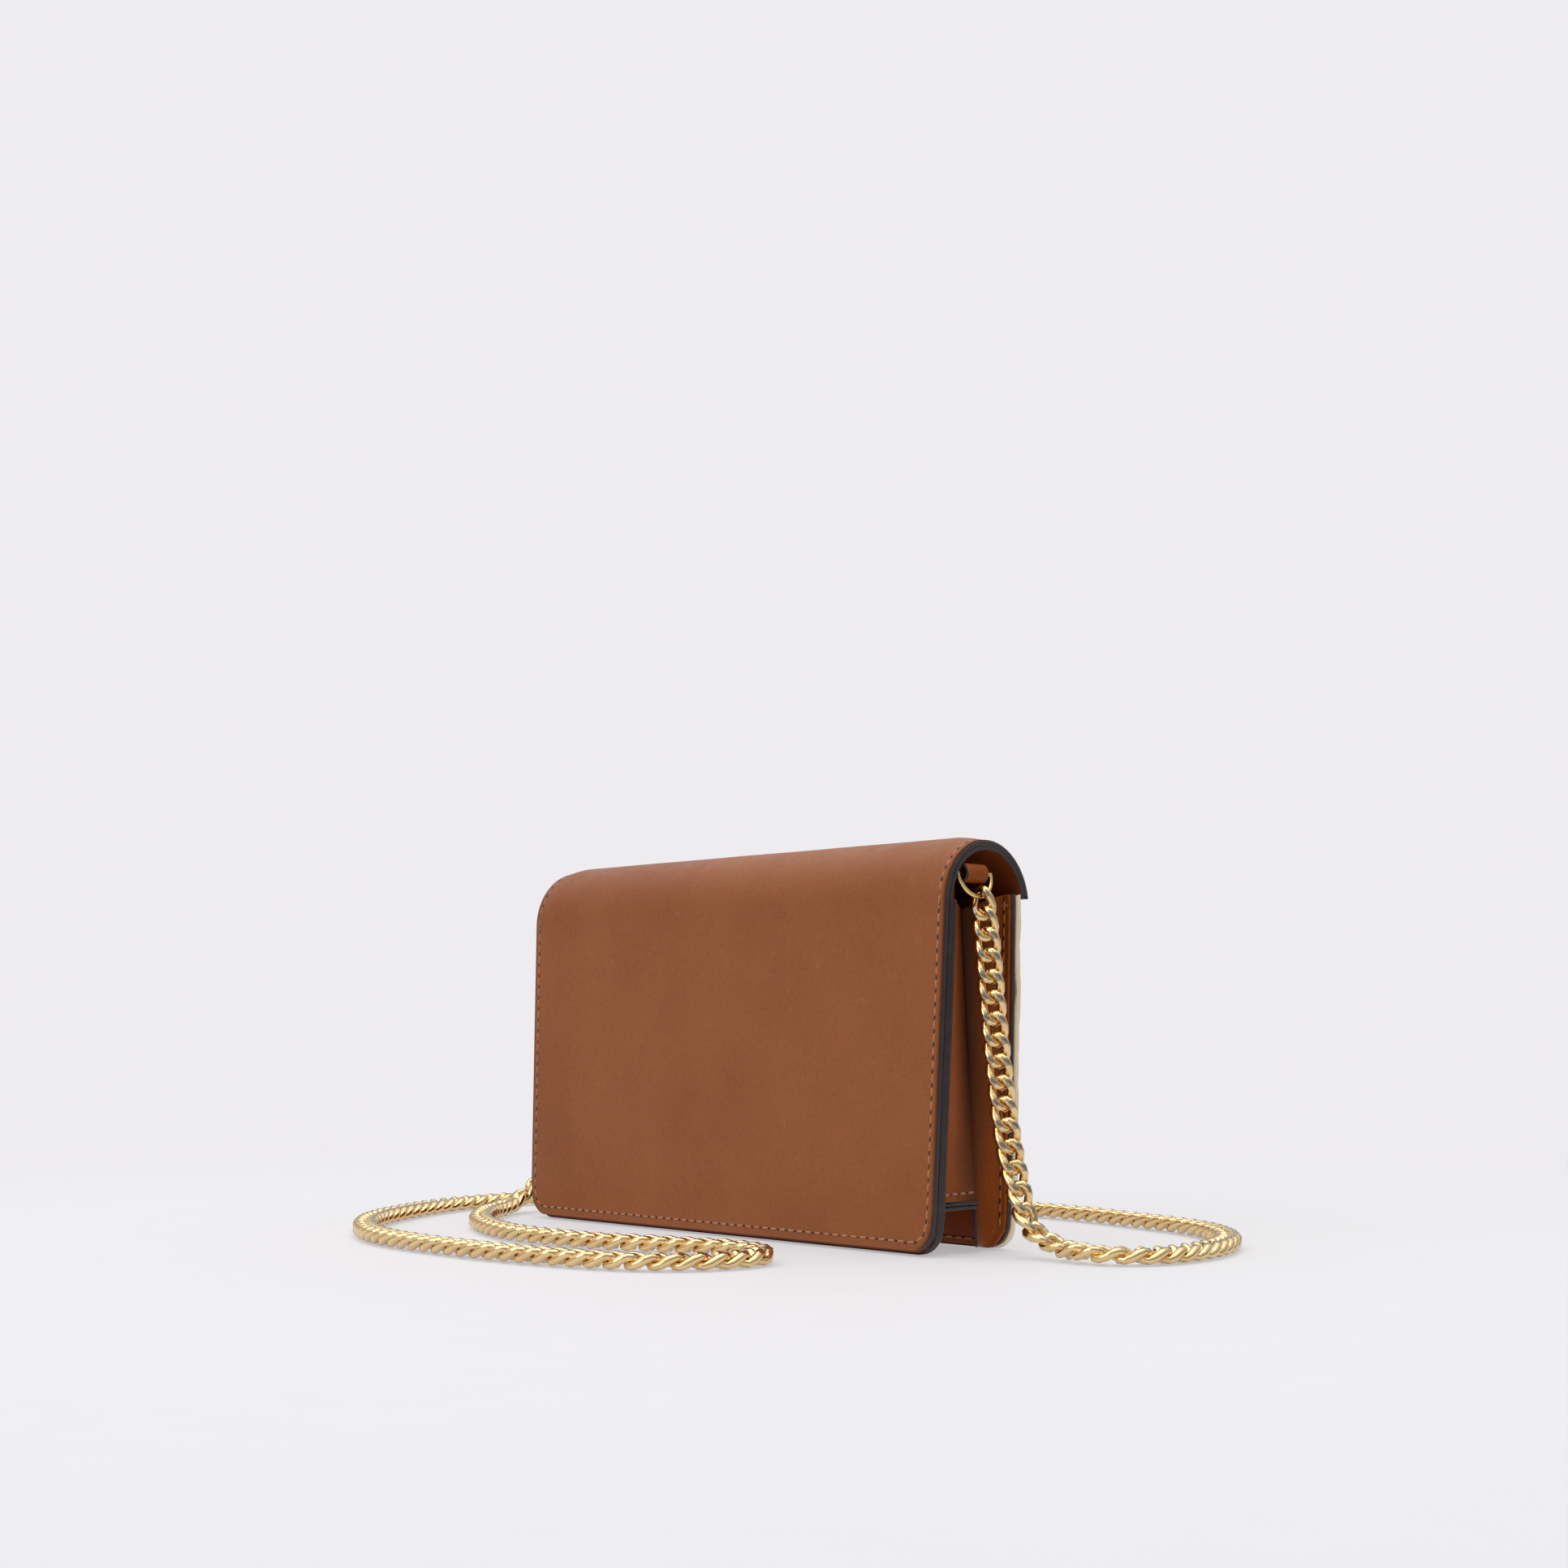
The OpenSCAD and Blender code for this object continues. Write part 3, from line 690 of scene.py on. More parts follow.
def panel_rows(bottom, top, inset, count):
    """Heights and half widths of a panel with rounded bottom corners."""
    corner = np.radians(np.linspace(0, 90, 11))
    z = bottom + CORNER_R * (1 - np.cos(corner))
    x = side_x(bottom) - inset - CORNER_R + CORNER_R * np.sin(corner)
    above = spread(bottom + CORNER_R, top, count)[2:]
    return np.concatenate([z, above]), np.concatenate([x, side_x(above) - inset])


COLUMNS = spread(-1, 1, 86, 0.5 / HALF_W)


def rear_grid(inwards, bottom, top, inset, count=34):
    """Points on a layer of the leaning rear panel."""
    z, half = panel_rows(bottom, top, inset, count)
    grid = np.zeros((len(z), len(COLUMNS), 3))
    grid[..., 0] = half[:, None] * COLUMNS
    grid[..., 1] = (REAR_Y - inwards * math.cos(LEAN) - z * math.sin(LEAN))[:, None]
    grid[..., 2] = np.maximum(z * math.cos(LEAN) - inwards * math.sin(LEAN), 0)[:, None]
    return grid


def over_line(inwards):
    """Profile of a shell layer from the fold over the arch and down to the tongue."""
    angles = np.radians(np.linspace(0, 180, ARCH_STEPS))
    arch = np.stack([ARCH_Y + (ARCH_HALF - inwards) * np.cos(angles),
                     FOLD_H + (ARCH_RISE - inwards) * np.sin(angles)], axis=1)
    hang = np.stack([np.full(200, -REAR_Y + inwards),
                     np.linspace(FOLD_H, TONGUE_Z - 2, 201)[1:]], axis=1)
    line = np.concatenate([arch, hang])
    gone = np.concatenate([[0], np.cumsum(np.linalg.norm(np.diff(line, axis=0), axis=1))])
    return line, gone


def over_grid(inwards, rows):
    """Points over the arch and down the flap, each column ending on the flap's edge."""
    line, gone = over_line(inwards)
    ahead = line[:, 0] < ARCH_Y
    x = HALF_W * COLUMNS
    ends = np.interp(-flap_edge(x), -line[ahead, 1], gone[ahead])
    arch_length = gone[ARCH_STEPS - 1]
    fixed = np.linspace(0, 1, 26) * arch_length * 0.86
    grid = np.zeros((rows + 26, len(x), 3))
    grid[..., 0] = x
    for j, end in enumerate(ends):
        last = spread(fixed[-1], end, rows, 0.5)[2:]
        places = np.concatenate([fixed, last])
        grid[:, j, 1] = np.interp(places, gone, line[:, 0])
        grid[:, j, 2] = np.interp(places, gone, line[:, 1])
    return grid


def shell_grid(inwards):
    """Points on a layer of the shell: up the rear, over the arch and down the flap."""
    rear = rear_grid(inwards, SHELL_FOOT, FOLD_H - 0.6, 0)[:-2]
    return np.concatenate([rear, over_grid(inwards, 22)])


def edge_distance(grid):
    """How far each point of a grid lies from the sheet's edge, roughly."""
    gone = np.concatenate([[0], np.cumsum(np.linalg.norm(
        np.diff(grid[:, grid.shape[1] // 2], axis=0), axis=1))])
    rows = np.minimum(gone, gone[-1] - gone)[:, None]
    half = np.abs(grid[:, -1, 0])[:, None]
    return np.minimum(rows, half - np.abs(grid[..., 0]))


def soft_waves(grid, size, seed):
    """Slow swells over a sheet, the same on every run."""
    rng = np.random.default_rng(seed)
    total = np.zeros(grid.shape[:2])
    for _ in range(6):
        k = rng.normal(size=3)
        k *= 2 * math.pi / (size * rng.uniform(0.6, 1.6)) / np.linalg.norm(k)
        total += np.sin(grid @ k + rng.uniform(0, 6.28))
    return total / 6


def pillow(grid, rise, reach, swell=0.1, size=60, seed=1):
    """Relief of leather over board: pinched at its sewn edge and full inside."""
    inside = np.clip(edge_distance(grid) / reach, 0, 1)
    inside = inside ** 2 * (3 - 2 * inside)
    return rise * inside + swell * inside * soft_waves(grid, size, seed)


def arch_swell(grid):
    """The shell stands fuller over the arch, inside its sewn ends."""
    inside = np.clip((HALF_W - np.abs(grid[..., 0]) - 3.3) / 8.5, 0, 1)
    high = np.clip((grid[..., 2] - 96) / 18, 0, 1)
    return 1.05 * inside * (2 - inside) * high * high * (3 - 2 * high)


def bend_with_flap(piece):
    """Bake a sheet's placement into its points."""
    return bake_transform(piece)


outer = shell_grid(0)
shell_leather = slab("shell_leather", outer, 0.6, OUTER_T, TAN,
                     relief=pillow(outer, 0.22, 5) + arch_swell(outer))
inner = shell_grid(OUTER_T)
raised = np.clip((inner[..., 2] - 97) / 6, 0, 1) * np.clip((inner[..., 1] + 30) / 15, 0, 1)
hangs = inner[..., 1] < -15
shell_lining = slab("shell_lining", inner, 0.45, 0.6 + 0.65 * raised + 0.4 * hangs * (1 - raised),
                    INNER_TAN)
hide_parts("back_leather", "flap_leather", "back_core", "flap_core")
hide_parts("back_lining", "flap_lining")
bend_with_flap(shell_leather)
bend_with_flap(shell_lining)

wall_mid = (WALL_END - WALL_IN) / 2
wall_leather = slab("wall_outer", rear_grid(WALL_IN, 0.4, WALL_TOP, 0.2),
                    0.5, wall_mid, INNER_TAN)
wall_lining = slab("wall_inner", rear_grid(WALL_IN + wall_mid, 0.4, WALL_TOP, 0.2),
                   0.5, wall_mid + 0.3, INNER_TAN)
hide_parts("wall_leather", "wall_core")
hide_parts("wall_lining")
for piece in (wall_leather, wall_lining):
    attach(piece, "root")


def upright_grid(y, bottom, top, inset, count=34, columns=COLUMNS):
    """Points on an upright sheet with rounded bottom corners."""
    z, half = panel_rows(bottom, top, inset, count)
    grid = np.zeros((len(z), len(columns), 3))
    grid[..., 0] = half[:, None] * columns
    grid[..., 1] = y
    grid[..., 2] = z[:, None]
    return grid


front_lining = slab("front_inner", upright_grid(FRONT_IN_Y, 0.3, FRONT_H, 0.1),
                    0.45, 1.6, INNER_TAN)
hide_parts("front_lining", "front_core")
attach(front_lining, "front")


def scale_relief(grid):
    """Pressed scales: rows of rounded tiles, uneven in width and slightly wavy."""
    x, z = grid[..., 0], grid[..., 2]
    wobble_x = x + 0.9 * np.sin(z / 7.3) + 0.5 * np.sin(x / 5.1 + z / 3.9)
    wobble_z = z + 0.8 * np.sin(x / 8.7) + 0.45 * np.sin(x / 4.3 - z / 6.1)
    tall = 8.2
    row = np.floor(wobble_z / tall)
    wide = 9.5 + 1.3 * np.sin(row * 2.4)
    u = wobble_x / wide + 0.5 * (row % 2) + 0.13 * np.sin(row * 5.7)
    cell_x = np.abs((u % 1) - 0.5) * 2
    cell_z = np.abs(((wobble_z / tall) % 1) - 0.5) * 2
    crease = np.maximum(cell_x ** 5, cell_z ** 5)
    dome = (1 - cell_x ** 3) * (1 - cell_z ** 3)
    return 0.42 * dome - 0.25 * crease ** 2, crease


fine_columns = spread(-1, 1, 170, 0.5 / HALF_W)
front_face = upright_grid(FRONT_Y + 0.1, 0, FRONT_H, 0, 100, fine_columns)
lift, crease = scale_relief(front_face)
near_edge = np.clip(edge_distance(front_face) / 2.0, 0, 1)
from_snap = np.hypot(front_face[..., 0], front_face[..., 2] - SNAP_Z)
lift *= np.clip((from_snap - 7.2) / 2, 0, 1)
lift -= 1.75 * np.clip(6.6 - from_snap, 0, 1)
crease = crease * np.clip((from_snap - 7.2) / 2, 0, 1)
front_face[..., 1] += 0.95 * (1 - near_edge) * (0.35 + soft_waves(front_face, 9, 3))
gold_front = slab("gold_front", front_face, 0.9, 2.2, EMBOSSED, flip=True,
                  relief=lift * near_edge - 0.1, marks={"crease": crease}, steps=6)
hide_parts("front_panel")
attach(gold_front, "front")


def turned(name, profile, finish, sides=48):
    """A closed ring-shaped piece turned round the snap's axis: radii and depths."""
    angles = 2 * math.pi * np.arange(sides) / sides
    points = [(0, profile[0][1], SNAP_Z)]
    for radius, y in profile[1:-1]:
        points += [(radius * math.cos(a), y, SNAP_Z + radius * math.sin(a)) for a in angles]
    points.append((0, profile[-1][1], SNAP_Z))
    last, faces = len(points) - 1, []
    for k in range(sides):
        n = (k + 1) % sides
        faces.append((0, 1 + n, 1 + k))
        for ring in range(len(profile) - 3):
            a = 1 + ring * sides
            faces.append((a + k, a + n, a + sides + n, a + sides + k))
        a = 1 + (len(profile) - 3) * sides
        faces.append((a + k, a + n, last))
    a, b, c = (np.array(points[v]) for v in faces[0])
    if np.cross(b - a, c - b)[1] * (profile[0][1] - profile[-1][1]) < 0:
        faces = [face[::-1] for face in faces]
    return add_mesh(name, points, faces, finish)


HANG_Y = -REAR_Y + 2.7
snap_cap = turned("snap_cap", [
    (0, HANG_Y + 0.75), (1.5, HANG_Y + 0.75), (1.9, HANG_Y + 0.5), (2.0, HANG_Y + 0.12),
    (5.3, HANG_Y + 0.1), (5.9, HANG_Y - 0.1), (6.0, HANG_Y - 0.6), (0, HANG_Y - 1.2)], RING_GOLD)
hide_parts("snap_stud")
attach(snap_cap, "flap")
snap_seat = turned("snap_seat", [
    (0, FRONT_Y + 1.5), (3.2, FRONT_Y + 1.5), (3.5, FRONT_Y + 1.2), (3.55, FRONT_Y + 0.1),
    (3.9, FRONT_Y - 0.14), (6.5, FRONT_Y - 0.14), (6.95, FRONT_Y + 0.1),
    (7.0, FRONT_Y + 1.9), (0, FRONT_Y + 2.0)], RING_GOLD)
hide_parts("snap_socket")
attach(snap_seat, "front")


# ---------------------------------------------------------------- gussets and base

def unfold_with_front(piece):
    """Bake a gusset's placement into its points."""
    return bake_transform(piece)


def fold_in(z):
    """How far the gusset's fold lies in from its edges at a height."""
    return 0.7 + 0.088 * z


def rear_in(z, inwards):
    """Depth of a layer of the leaning rear panel at a height."""
    return REAR_Y - z * math.tan(LEAN) - inwards / math.cos(LEAN)


def gusset_stations(z):
    """Inset from the side and y, from the rear wall over the fold to the front wall."""
    f, rear, front = fold_in(z), rear_in(z, WALL_END) - 0.05, FRONT_IN_Y
    fold = GUSSET_FOLD_Y
    rear_leaf = [(0.8, rear)] + [(0.8 + d * f, rear + (fold - rear) * t)
                                 for d, t in ((0.16, 0.2), (0.45, 0.5), (0.8, 0.82), (1, 1))]
    front_leaf = [(0.8 + f, fold), (2.2 + 0.8 * f, fold + (front - fold) * 0.2),
                  (3.3 + 0.45 * f, fold + (front - fold) * 0.5),
                  (4.0 + 0.1 * f, fold + (front - fold) * 0.74), (4.0, front + 1.7),
                  (3.0, FLANGE_Y), (0.6, FLANGE_Y)]
    return rear_leaf, front_leaf


def front_half(z):
    """Half width of the front wall at a height, its bottom corners rounded."""
    below = np.clip(CORNER_R - z, 0, CORNER_R)
    return side_x(z) - CORNER_R + np.sqrt(CORNER_R ** 2 - below ** 2)


def gusset_leaf(name, side, leaf, foot, heads, columns):
    """One leaf of an end gusset, the rear one for leaf 0 and the front one for leaf 1."""
    heights = spread(0, 1, 22, 0.006)
    grid = np.zeros((len(heights), columns, 3))
    for i, h in enumerate(heights):
        for j in range(columns):
            s = j / (columns - 1)
            drop = 1.3 * max(0, 1 - 2.5 * s) if leaf else -1.5 * s ** 3
            z = foot + drop + (heads(s) - foot - drop) * h
            stations = np.array(gusset_stations(z)[leaf])
            gone = np.concatenate([[0], np.cumsum(np.linalg.norm(
                np.diff(stations, axis=0), axis=1))])
            at = gone[-1] * j / (columns - 1)
            inset, y = (np.interp(at, gone, stations[:, k]) for k in range(2))
            round_off = side_x(z) - front_half(z) if leaf else 0
            grid[i, j] = (side * (side_x(z) - inset - round_off * min(1, 1.6 * at / gone[-1])),
                          y, z)
    for _ in range(2):
        grid[:, 1:-1] = (grid[:, :-2] + 2 * grid[:, 1:-1] + grid[:, 2:]) / 4

    def painted(edge):
        low = edge[:, 2] < BASE_END + 1.5
        flange = edge[:, 1] < FRONT_IN_Y + 1.3
        return np.where(low & ~flange, 1.0, 0.0)

    # Painted shade: this mark darkens the leather towards the fold line, more so higher up where
    # the fold is deeper.
    fold_shade = np.clip(1 - np.abs(grid[..., 1] - GUSSET_FOLD_Y) / (8.5 if leaf else 11), 0, 1)
    fold_shade = fold_shade ** 0.75 * np.clip(0.5 + grid[..., 2] / 110, 0, 1)
    crumple = 0.16 * soft_waves(grid * (1, 1, 0.45), 9, 7 + leaf)
    crumple *= np.clip(leaf_edge_distance(grid) / 4, 0, 1)
    return slab(name, grid, 0.35, GUSSET_T * 0.85, GUSSET_TAN, flip=side < 0, relief=crumple,
                marks={"fold_shade": fold_shade}, painted=painted)


def leaf_edge_distance(grid):
    """Distance from a leaf's four edges, measured along its rows and columns."""
    def gone(axis):
        steps = np.linalg.norm(np.diff(grid, axis=axis), axis=-1)
        pad = [(1, 0), (0, 0)] if axis == 0 else [(0, 0), (1, 0)]
        total = np.pad(np.cumsum(steps, axis=axis), pad)
        last = total[-1:] if axis == 0 else total[:, -1:]
        return np.minimum(total, last - total)
    return np.minimum(gone(0), gone(1))


for side, name in ((-1, "left"), (1, "right")):
    rear = gusset_leaf("gusset_rear_" + name, side, 0, BASE_END + 0.05,
                       lambda s: 101 - 1.5 * s, 22)
    front = gusset_leaf("gusset_front_" + name, side, 1, 0.7,
                        lambda s: 99.5 + 4.3 * min(1, s * 1.2), 30)
    leather = joined("gusset_leather_" + name, [rear, front])
    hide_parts("gusset_" + name)
    unfold_with_front(leather)


def base_grid(z):
    """A layer of the pouch floor, narrower in front of the gussets' fold."""
    rear = rear_in(z, WALL_END)
    y = np.concatenate([[FRONT_IN_Y + 0.3, FRONT_IN_Y + 0.8], np.linspace(-9, -1.3, 6),
                        [BASE_SPLIT_Y - 0.05, BASE_SPLIT_Y + 0.35],
                        np.linspace(1.1, rear - 1, 7), [rear - 0.5, rear - 0.05]])
    half = side_x(z) - np.where(y < BASE_SPLIT_Y, 6.5, 1.4)
    grid = np.zeros((len(y), len(COLUMNS), 3))
    grid[..., 0] = half[:, None] * COLUMNS
    grid[..., 1] = y[:, None]
    grid[..., 2] = z
    return grid


base_leather = slab("base_outer", base_grid(BASE_Z + 1.1), 0.4, 1.1, GUSSET_TAN, flip=True)
base_lining = slab("base_inner", base_grid(BASE_END), 0.4, 1.1, GUSSET_TAN, flip=True)
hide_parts("base_leather")
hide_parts("base_lining")
for piece in (base_leather, base_lining):
    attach(piece, "root")


# ---------------------------------------------------------------- tabs

def tab_piece(name, side):
    """A strip folded round the ring's bar, its two layers sewn down inside the gusset."""
    layer = 0.92
    roll = [(TAB_X + 2.4 * math.sin(a), TAB_Z + 2.4 * math.cos(a))
            for a in np.radians(np.linspace(0, 215, 18))]
    path = ([(84.75, 88.2), (84.75, 95), (84.75, 103), (84.9, 108.9), (86, 111),
             (88.6, 111.6), (92, 111.7), (95, 111.7)] + roll
            + [(93.6, 108.4), (91, 109.9), (88.4, 110.2), (86.9, 109.5), (85.9, 107.8),
               (85.72, 103), (85.72, 95), (85.72, 88.2)])
    line = smooth_line([(x, 0, z) for x, z in path], 0.8)
    y = spread(-TAB_W / 2, TAB_W / 2, 11, 0.35)
    grid = np.zeros((len(line), len(y), 3))
    grid[..., 0] = side * line[:, :1]
    grid[..., 1] = TAB_Y + y
    grid[..., 2] = line[:, 2:]
    normals = grid_normals(grid) * side
    grid = grid + normals * layer / 2
    return slab(name, grid, 0.35, layer, GUSSET_TAN, flip=side < 0)


for side, name in ((-1, "left"), (1, "right")):
    tab = tab_piece("tab_leather_" + name, side)
    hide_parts("ring_tab_" + name)
    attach(tab, "root")


# ---------------------------------------------------------------- inside

def card_piece(name, side, tier):
    """A card slot: leather turned over at the top, with a shallow dip for the thumb."""
    inwards = WALL_END + 0.05 + tier * (CARD_T + 0.05)
    x = spread(0, CARD_W, 44, 0.4)
    dip = 2.4 * np.exp(-((x - CARD_W / 2) / 15) ** 4)
    top = CARD_TOPS[tier]
    v = spread(0, 1, 16, 0.012)
    z = CARD_FLOOR + v[:, None] * (top - dip - CARD_FLOOR)
    grid = np.zeros((len(v), len(x), 3))
    grid[..., 0] = (CARD_X0 + x) * side
    grid[..., 1] = REAR_Y - inwards * math.cos(LEAN) - z * math.sin(LEAN)
    grid[..., 2] = z * math.cos(LEAN) - inwards * math.sin(LEAN)
    return slab(name, grid, 0.3, CARD_T, INNER_TAN, flip=side > 0, steps=3,
                painted=lambda edge: np.where(edge[:, 2] > top - 8, 1.0, 0.0))


for side, name in ((-1, "left"), (1, "right")):
    for tier in range(3):
        card = card_piece(f"card_leather_{name}_{tier + 1}", side, tier)
        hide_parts(f"card_slot_{name}_{tier + 1}")
        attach(card, "root")


def pocket_wall(name, side):
    """One wall of the coin pocket, drawn in towards its sewn ends and foot."""
    x = spread(-POCKET_HALF, POCKET_HALF, 60, 0.5)
    z = spread(BASE_END + 0.1, POCKET_TOP, 20, 0.5)
    grid = np.zeros((len(z), len(x), 3))
    full = (1 - np.abs(x / POCKET_HALF) ** 10) * (1 - np.exp(-(z - BASE_END) / 2.5))[:, None]
    grid[..., 0] = x
    grid[..., 1] = ZIP_Y + side * (0.8 + 2.35 * full)
    grid[..., 2] = z[:, None]
    relief = 0.12 * soft_waves(grid, 22, 11) * full
    return slab(name, grid, 0.25, 0.7, POCKET, flip=side < 0, relief=relief, steps=3)


pocket = joined("pocket_cloth_bag", [pocket_wall("pocket_front", -1),
                                     pocket_wall("pocket_rear", 1)])
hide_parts("coin_pocket")
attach(pocket, "root")


def tape_piece(name, y0):
    """One cloth tape of the zip."""
    x = spread(-80, 80, 60, 0.4)
    y = spread(y0, y0 + 2.7, 8, 0.2)
    grid = np.zeros((len(y), len(x), 3))
    grid[..., 0] = x
    grid[..., 1] = y[:, None]
    grid[..., 2] = TAPE_Z + 0.7
    return slab(name, grid, 0.18, 0.7, TAPE, flip=True, steps=3)


for name, y0 in (("front", -1.1), ("rear", 2.6)):
    tape = tape_piece("tape_cloth_" + name, y0)
    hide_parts("zip_tape_" + name)
    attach(tape, "root")


# ---------------------------------------------------------------- stitching

def seam(name, lines, body=None, pitch=3.8):
    """A row of stitches along each line."""
    piece = repeated(name, lines, pitch, STITCH, THREAD)
    if body:
        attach(piece, body)
    return piece


def shell_seam():
    """Stitches round the rear panel, over both ends of the arch and along the flap's edge."""
    gap = SEAM_GAP
    corner = np.radians(np.linspace(0, 90, 9))
    r = CORNER_R - gap
    low = CORNER_R + SHELL_FOOT
    side = [(side_x(h) - gap, h) for h in np.linspace(low, FOLD_H, 30)]
    turn = [(side_x(SHELL_FOOT) - CORNER_R + r * math.sin(a), low - r * math.cos(a))
            for a in corner]
    foot = [(x, low - r) for x in np.linspace(0, side_x(0) - CORNER_R, 20)[:-1]]
    half_line = foot + turn + side[1:]
    flat = [(-x, h) for x, h in half_line[::-1]] + half_line[1:]
    lift = 0.12
    out = np.array([0, math.cos(LEAN), math.sin(LEAN)])
    rear = np.array([(x, REAR_Y - h * math.sin(LEAN), h * math.cos(LEAN)) for x, h in flat])
    rear = rear + out * lift
    lines = [(rear, np.broadcast_to(out, rear.shape))]
    line, gone = over_line(-lift)
    slopes = unit(np.gradient(line, axis=0))
    ahead = line[:, 0] < ARCH_Y
    end = np.interp(-(FLAP_SIDE_Z + 4.5), -line[ahead, 1], gone[ahead])
    for s in (-1, 1):
        places = np.linspace(1.5, end, 60)
        y, h = (np.interp(places, gone, line[:, k]) for k in range(2))
        dy, dh = (np.interp(places, gone, slopes[:, k]) for k in range(2))
        arch = np.stack([places * 0 + s * (HALF_W - gap), y, h], axis=1)
        lines.append((arch, np.stack([places * 0, dh, -dy], axis=1)))
    x = np.linspace(-(HALF_W - gap - 1), HALF_W - gap - 1, 120)
    slope = np.gradient(flap_edge(x), x)
    low = flap_edge(x) + gap * np.sqrt(1 + slope ** 2)
    places = np.interp(-low, -line[ahead, 1], gone[ahead])
    y, h, dy, dh = [np.interp(places, gone, part) for part in
                    (line[:, 0], line[:, 1], slopes[:, 0], slopes[:, 1])]
    lines.append((np.stack([x, y, h], axis=1), np.stack([x * 0, dh, -dy], axis=1)))
    return lines


shell_stitches = seam("shell_stitches", shell_seam())
bend_with_flap(shell_stitches)


def gusset_seams(side):
    """Rows of stitches down a gusset's flange, across its top and along the rear leaf's foot."""
    z = np.linspace(8.5, 100.5, 40)
    flange_y = FLANGE_Y + 0.1
    flange = [(side * (side_x(h) - FLANGE_SEAM_GAP), flange_y, h) for h in z]
    bar = [(side * (side_x(100.5) - FLANGE_SEAM_GAP - d), flange_y + 0.05 * d, 100.6)
           for d in np.linspace(0.4, 2.4, 5)]
    foot = np.linspace(1.5, rear_in(17.5, WALL_END) - 1, 12)
    row = []
    for y in foot:
        stations = np.array(gusset_stations(GUSSET_ROW_Z)[0])[::-1]
        inset = np.interp(y, stations[:, 1], stations[:, 0])
        row.append((side * (side_x(GUSSET_ROW_Z) - inset + 0.1), y, GUSSET_ROW_Z))
    lines = [(np.array(flange), np.broadcast_to([0, 1.0, 0], (len(flange), 3))),
             (np.array(bar), np.broadcast_to([0, 1.0, 0], (len(bar), 3))),
             (np.array(row), np.broadcast_to([side * 1.0, 0.1, 0], (len(row), 3)))]
    return lines


for side, name in ((-1, "left"), (1, "right")):
    stitches = seam("gusset_stitches_" + name, gusset_seams(side))
    unfold_with_front(stitches)


def front_seam():
    """The row along the foot of the front, seen in the recess under the pouch."""
    z = 2.9
    r = CORNER_R - SEAM_GAP
    corner = [(side_x(0) - CORNER_R + r * math.sin(a), CORNER_R - r * math.cos(a))
              for a in np.radians(np.linspace(0, 80, 8))]
    foot = [(x, z - 0.2) for x in np.linspace(0, side_x(0) - CORNER_R, 20)[:-1]]
    half_line = foot + corner
    flat = [(-x, h) for x, h in half_line[::-1]] + half_line[1:]
    line = np.array([(x, FRONT_IN_Y + 0.1, h) for x, h in flat])
    return [(line, np.broadcast_to([0, 1.0, 0], line.shape))]


front_stitches = seam("front_stitches", front_seam(), "front")


# ---------------------------------------------------------------- finishes of the frame's own parts

CAD_FINISHES = {
    RING_GOLD: ("d_ring_left", "d_ring_right", "zip_teeth_front", "zip_teeth_rear",
                "zip_stops", "zip_slider", "zip_puller"),
    STEEL: ("snap_magnet",),
}
for finish, nodes in CAD_FINISHES.items():
    for node in nodes:
        part = bpy.data.objects[node]
        if not part.data.materials:
            part.data.materials.append(finish)
        for slot in part.material_slots:
            slot.material = finish


# ---------------------------------------------------------------- stage

def pale_floor():
    """A wide floor that fades into the pale surroundings."""
    size = 3000
    floor = add_mesh("floor", [(-size, -size, 0), (size, -size, 0), (size, size, 0),
                               (-size, size, 0)], [(0, 1, 2, 3)], floor_finish())


def floor_finish():
    finish = Finish("pale_floor", Roughness=0.75, Specular_IOR_Level=0.1,
                    Emission_Color=(0.99, 0.975, 1, 1), Emission_Strength=0.4)
    where = finish.place()
    far = finish.node("ShaderNodeVectorMath", {0: where}, output="Value", operation="LENGTH")
    speck = finish.noise(where, 60, 2)
    return finish.shade({
        "Base Color": finish.tint(speck, [0.35, 0.345, 0.352, 1], [0.37, 0.365, 0.372, 1]),
        "Alpha": finish.step(far, 0.22, 0.6, 1, 0),
    }).material


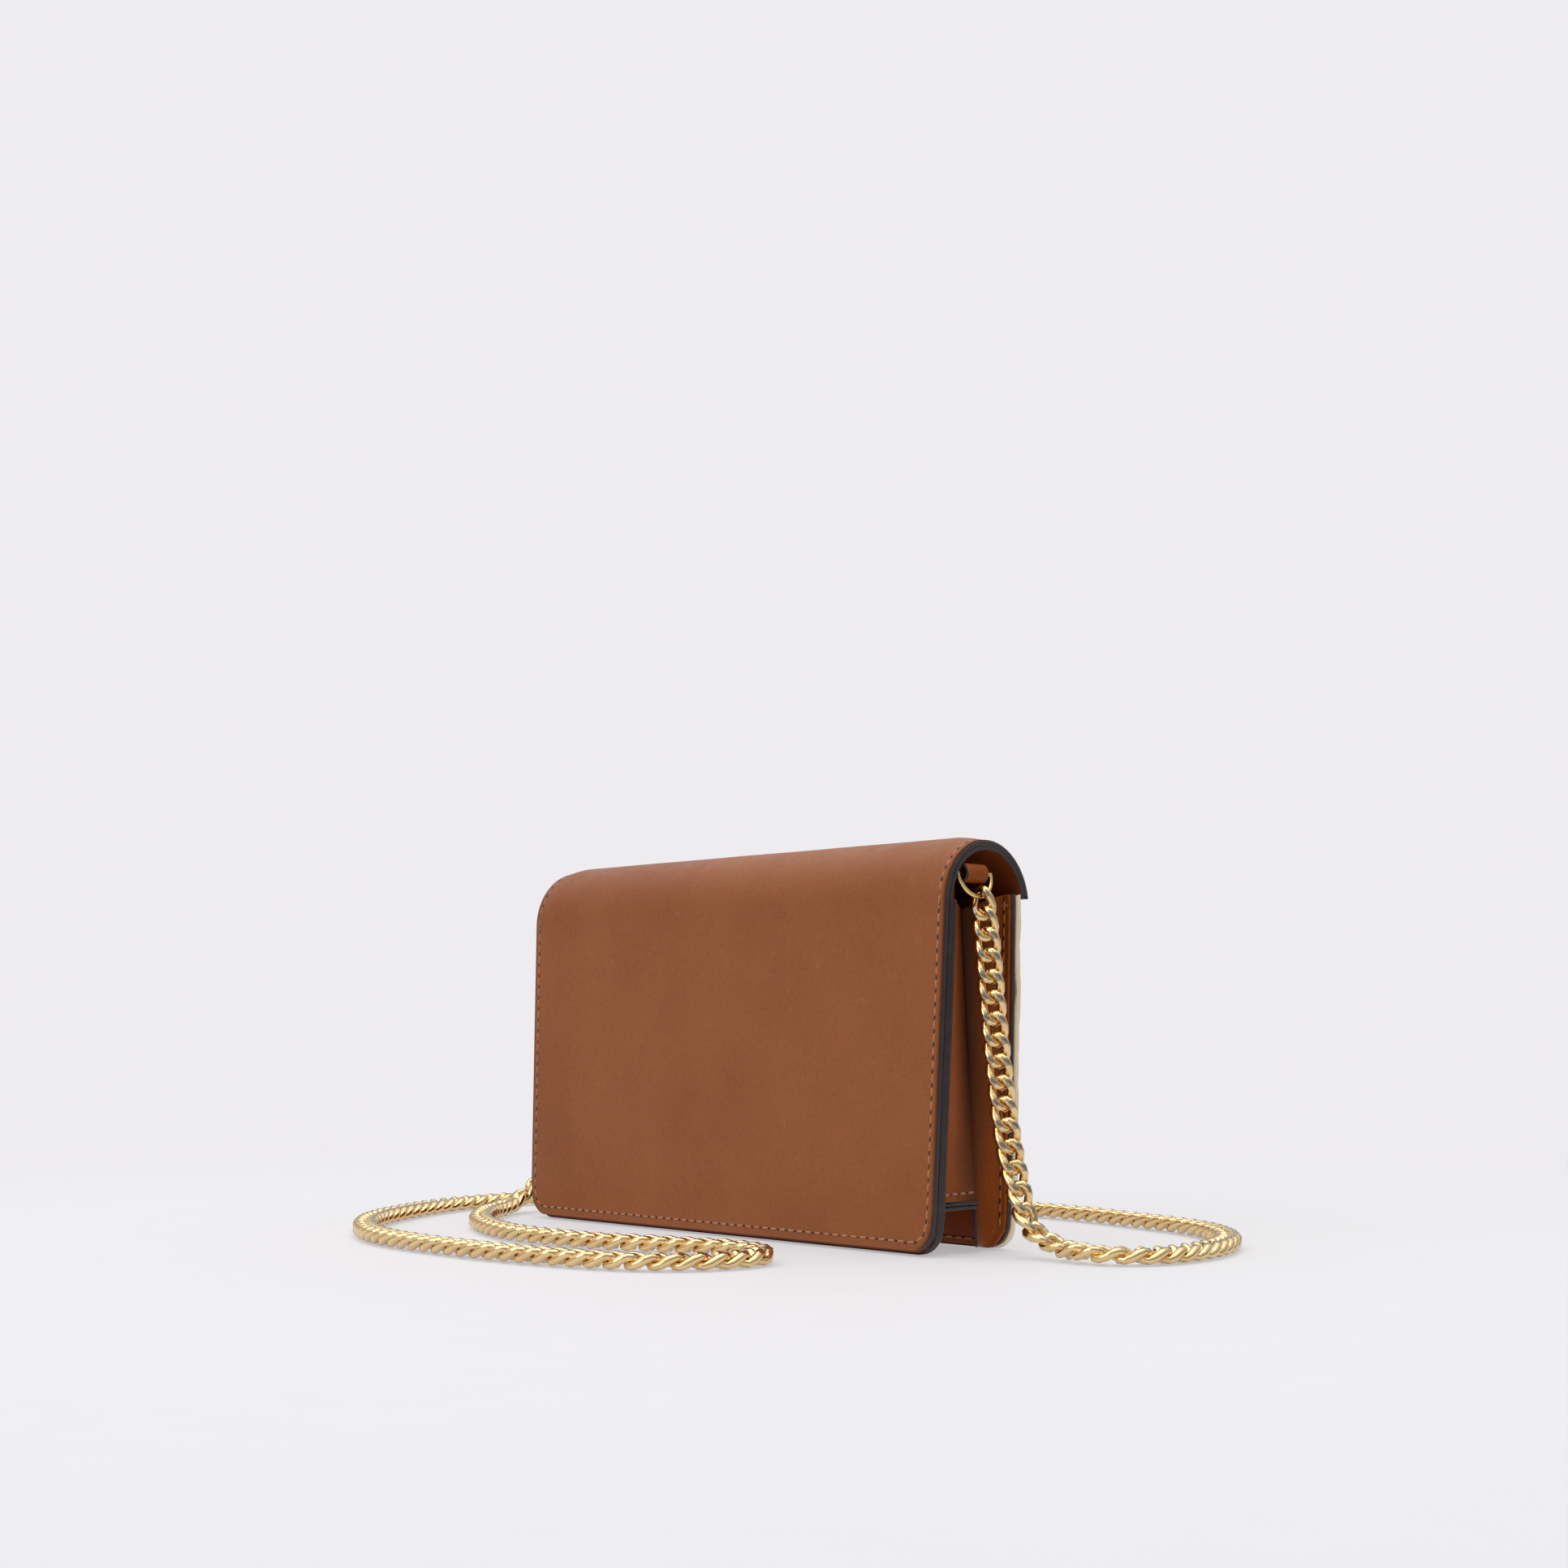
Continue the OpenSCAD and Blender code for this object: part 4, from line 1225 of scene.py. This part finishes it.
def surroundings():
    """Pale all round for the eye, and a soft studio for what lights the object."""
    world = bpy.data.worlds.new("studio")
    bpy.context.scene.world = world
    world.use_nodes = True
    nodes, links = world.node_tree.nodes, world.node_tree.links
    nodes.clear()
    seen, studio = nodes.new("ShaderNodeBackground"), nodes.new("ShaderNodeBackground")
    seen.inputs["Color"].default_value = (0.855, 0.839, 0.863, 1)
    place, split = nodes.new("ShaderNodeTexCoord"), nodes.new("ShaderNodeSeparateXYZ")
    ramp = nodes.new("ShaderNodeValToRGB")
    height = nodes.new("ShaderNodeMapRange")
    height.inputs["From Min"].default_value = -1
    links.new(place.outputs["Generated"], split.inputs[0])
    links.new(split.outputs["Z"], height.inputs["Value"])
    links.new(height.outputs[0], ramp.inputs[0])
    stops = ((0.0, 0.75), (0.49, 0.7), (0.56, 0.42), (0.7, 0.7), (1.0, 1.5))
    while len(ramp.color_ramp.elements) < len(stops):
        ramp.color_ramp.elements.new(0.5)
    for element, (position, level) in zip(ramp.color_ramp.elements, stops):
        element.position, element.color = position, (level, level, level, 1)
    links.new(ramp.outputs[0], studio.inputs["Color"])
    dim = nodes.new("ShaderNodeMapRange")
    for socket, value in (("From Min", -0.9), ("From Max", 0.3), ("To Min", 0.6), ("To Max", 1)):
        dim.inputs[socket].default_value = value
    links.new(split.outputs["X"], dim.inputs["Value"])
    links.new(dim.outputs[0], studio.inputs["Strength"])
    rays, mix = nodes.new("ShaderNodeLightPath"), nodes.new("ShaderNodeMixShader")
    out = nodes.new("ShaderNodeOutputWorld")
    links.new(rays.outputs["Is Camera Ray"], mix.inputs[0])
    links.new(studio.outputs[0], mix.inputs[1])
    links.new(seen.outputs[0], mix.inputs[2])
    links.new(mix.outputs[0], out.inputs["Surface"])


pale_floor()
surroundings()
softbox("overhead", (-0.1, 0.05, 1.5), (0, 0, 0.05), (1.8, 1.8), 9)
softbox("rear", (0.1, 1.7, 0.9), (0, 0, 0.06), (1.2, 1.0), 8)
bpy.context.scene.view_settings.view_transform = "Standard"
bpy.context.scene.view_settings.look = "None"

for item in (STITCH, LINK):
    bpy.data.objects.remove(item)
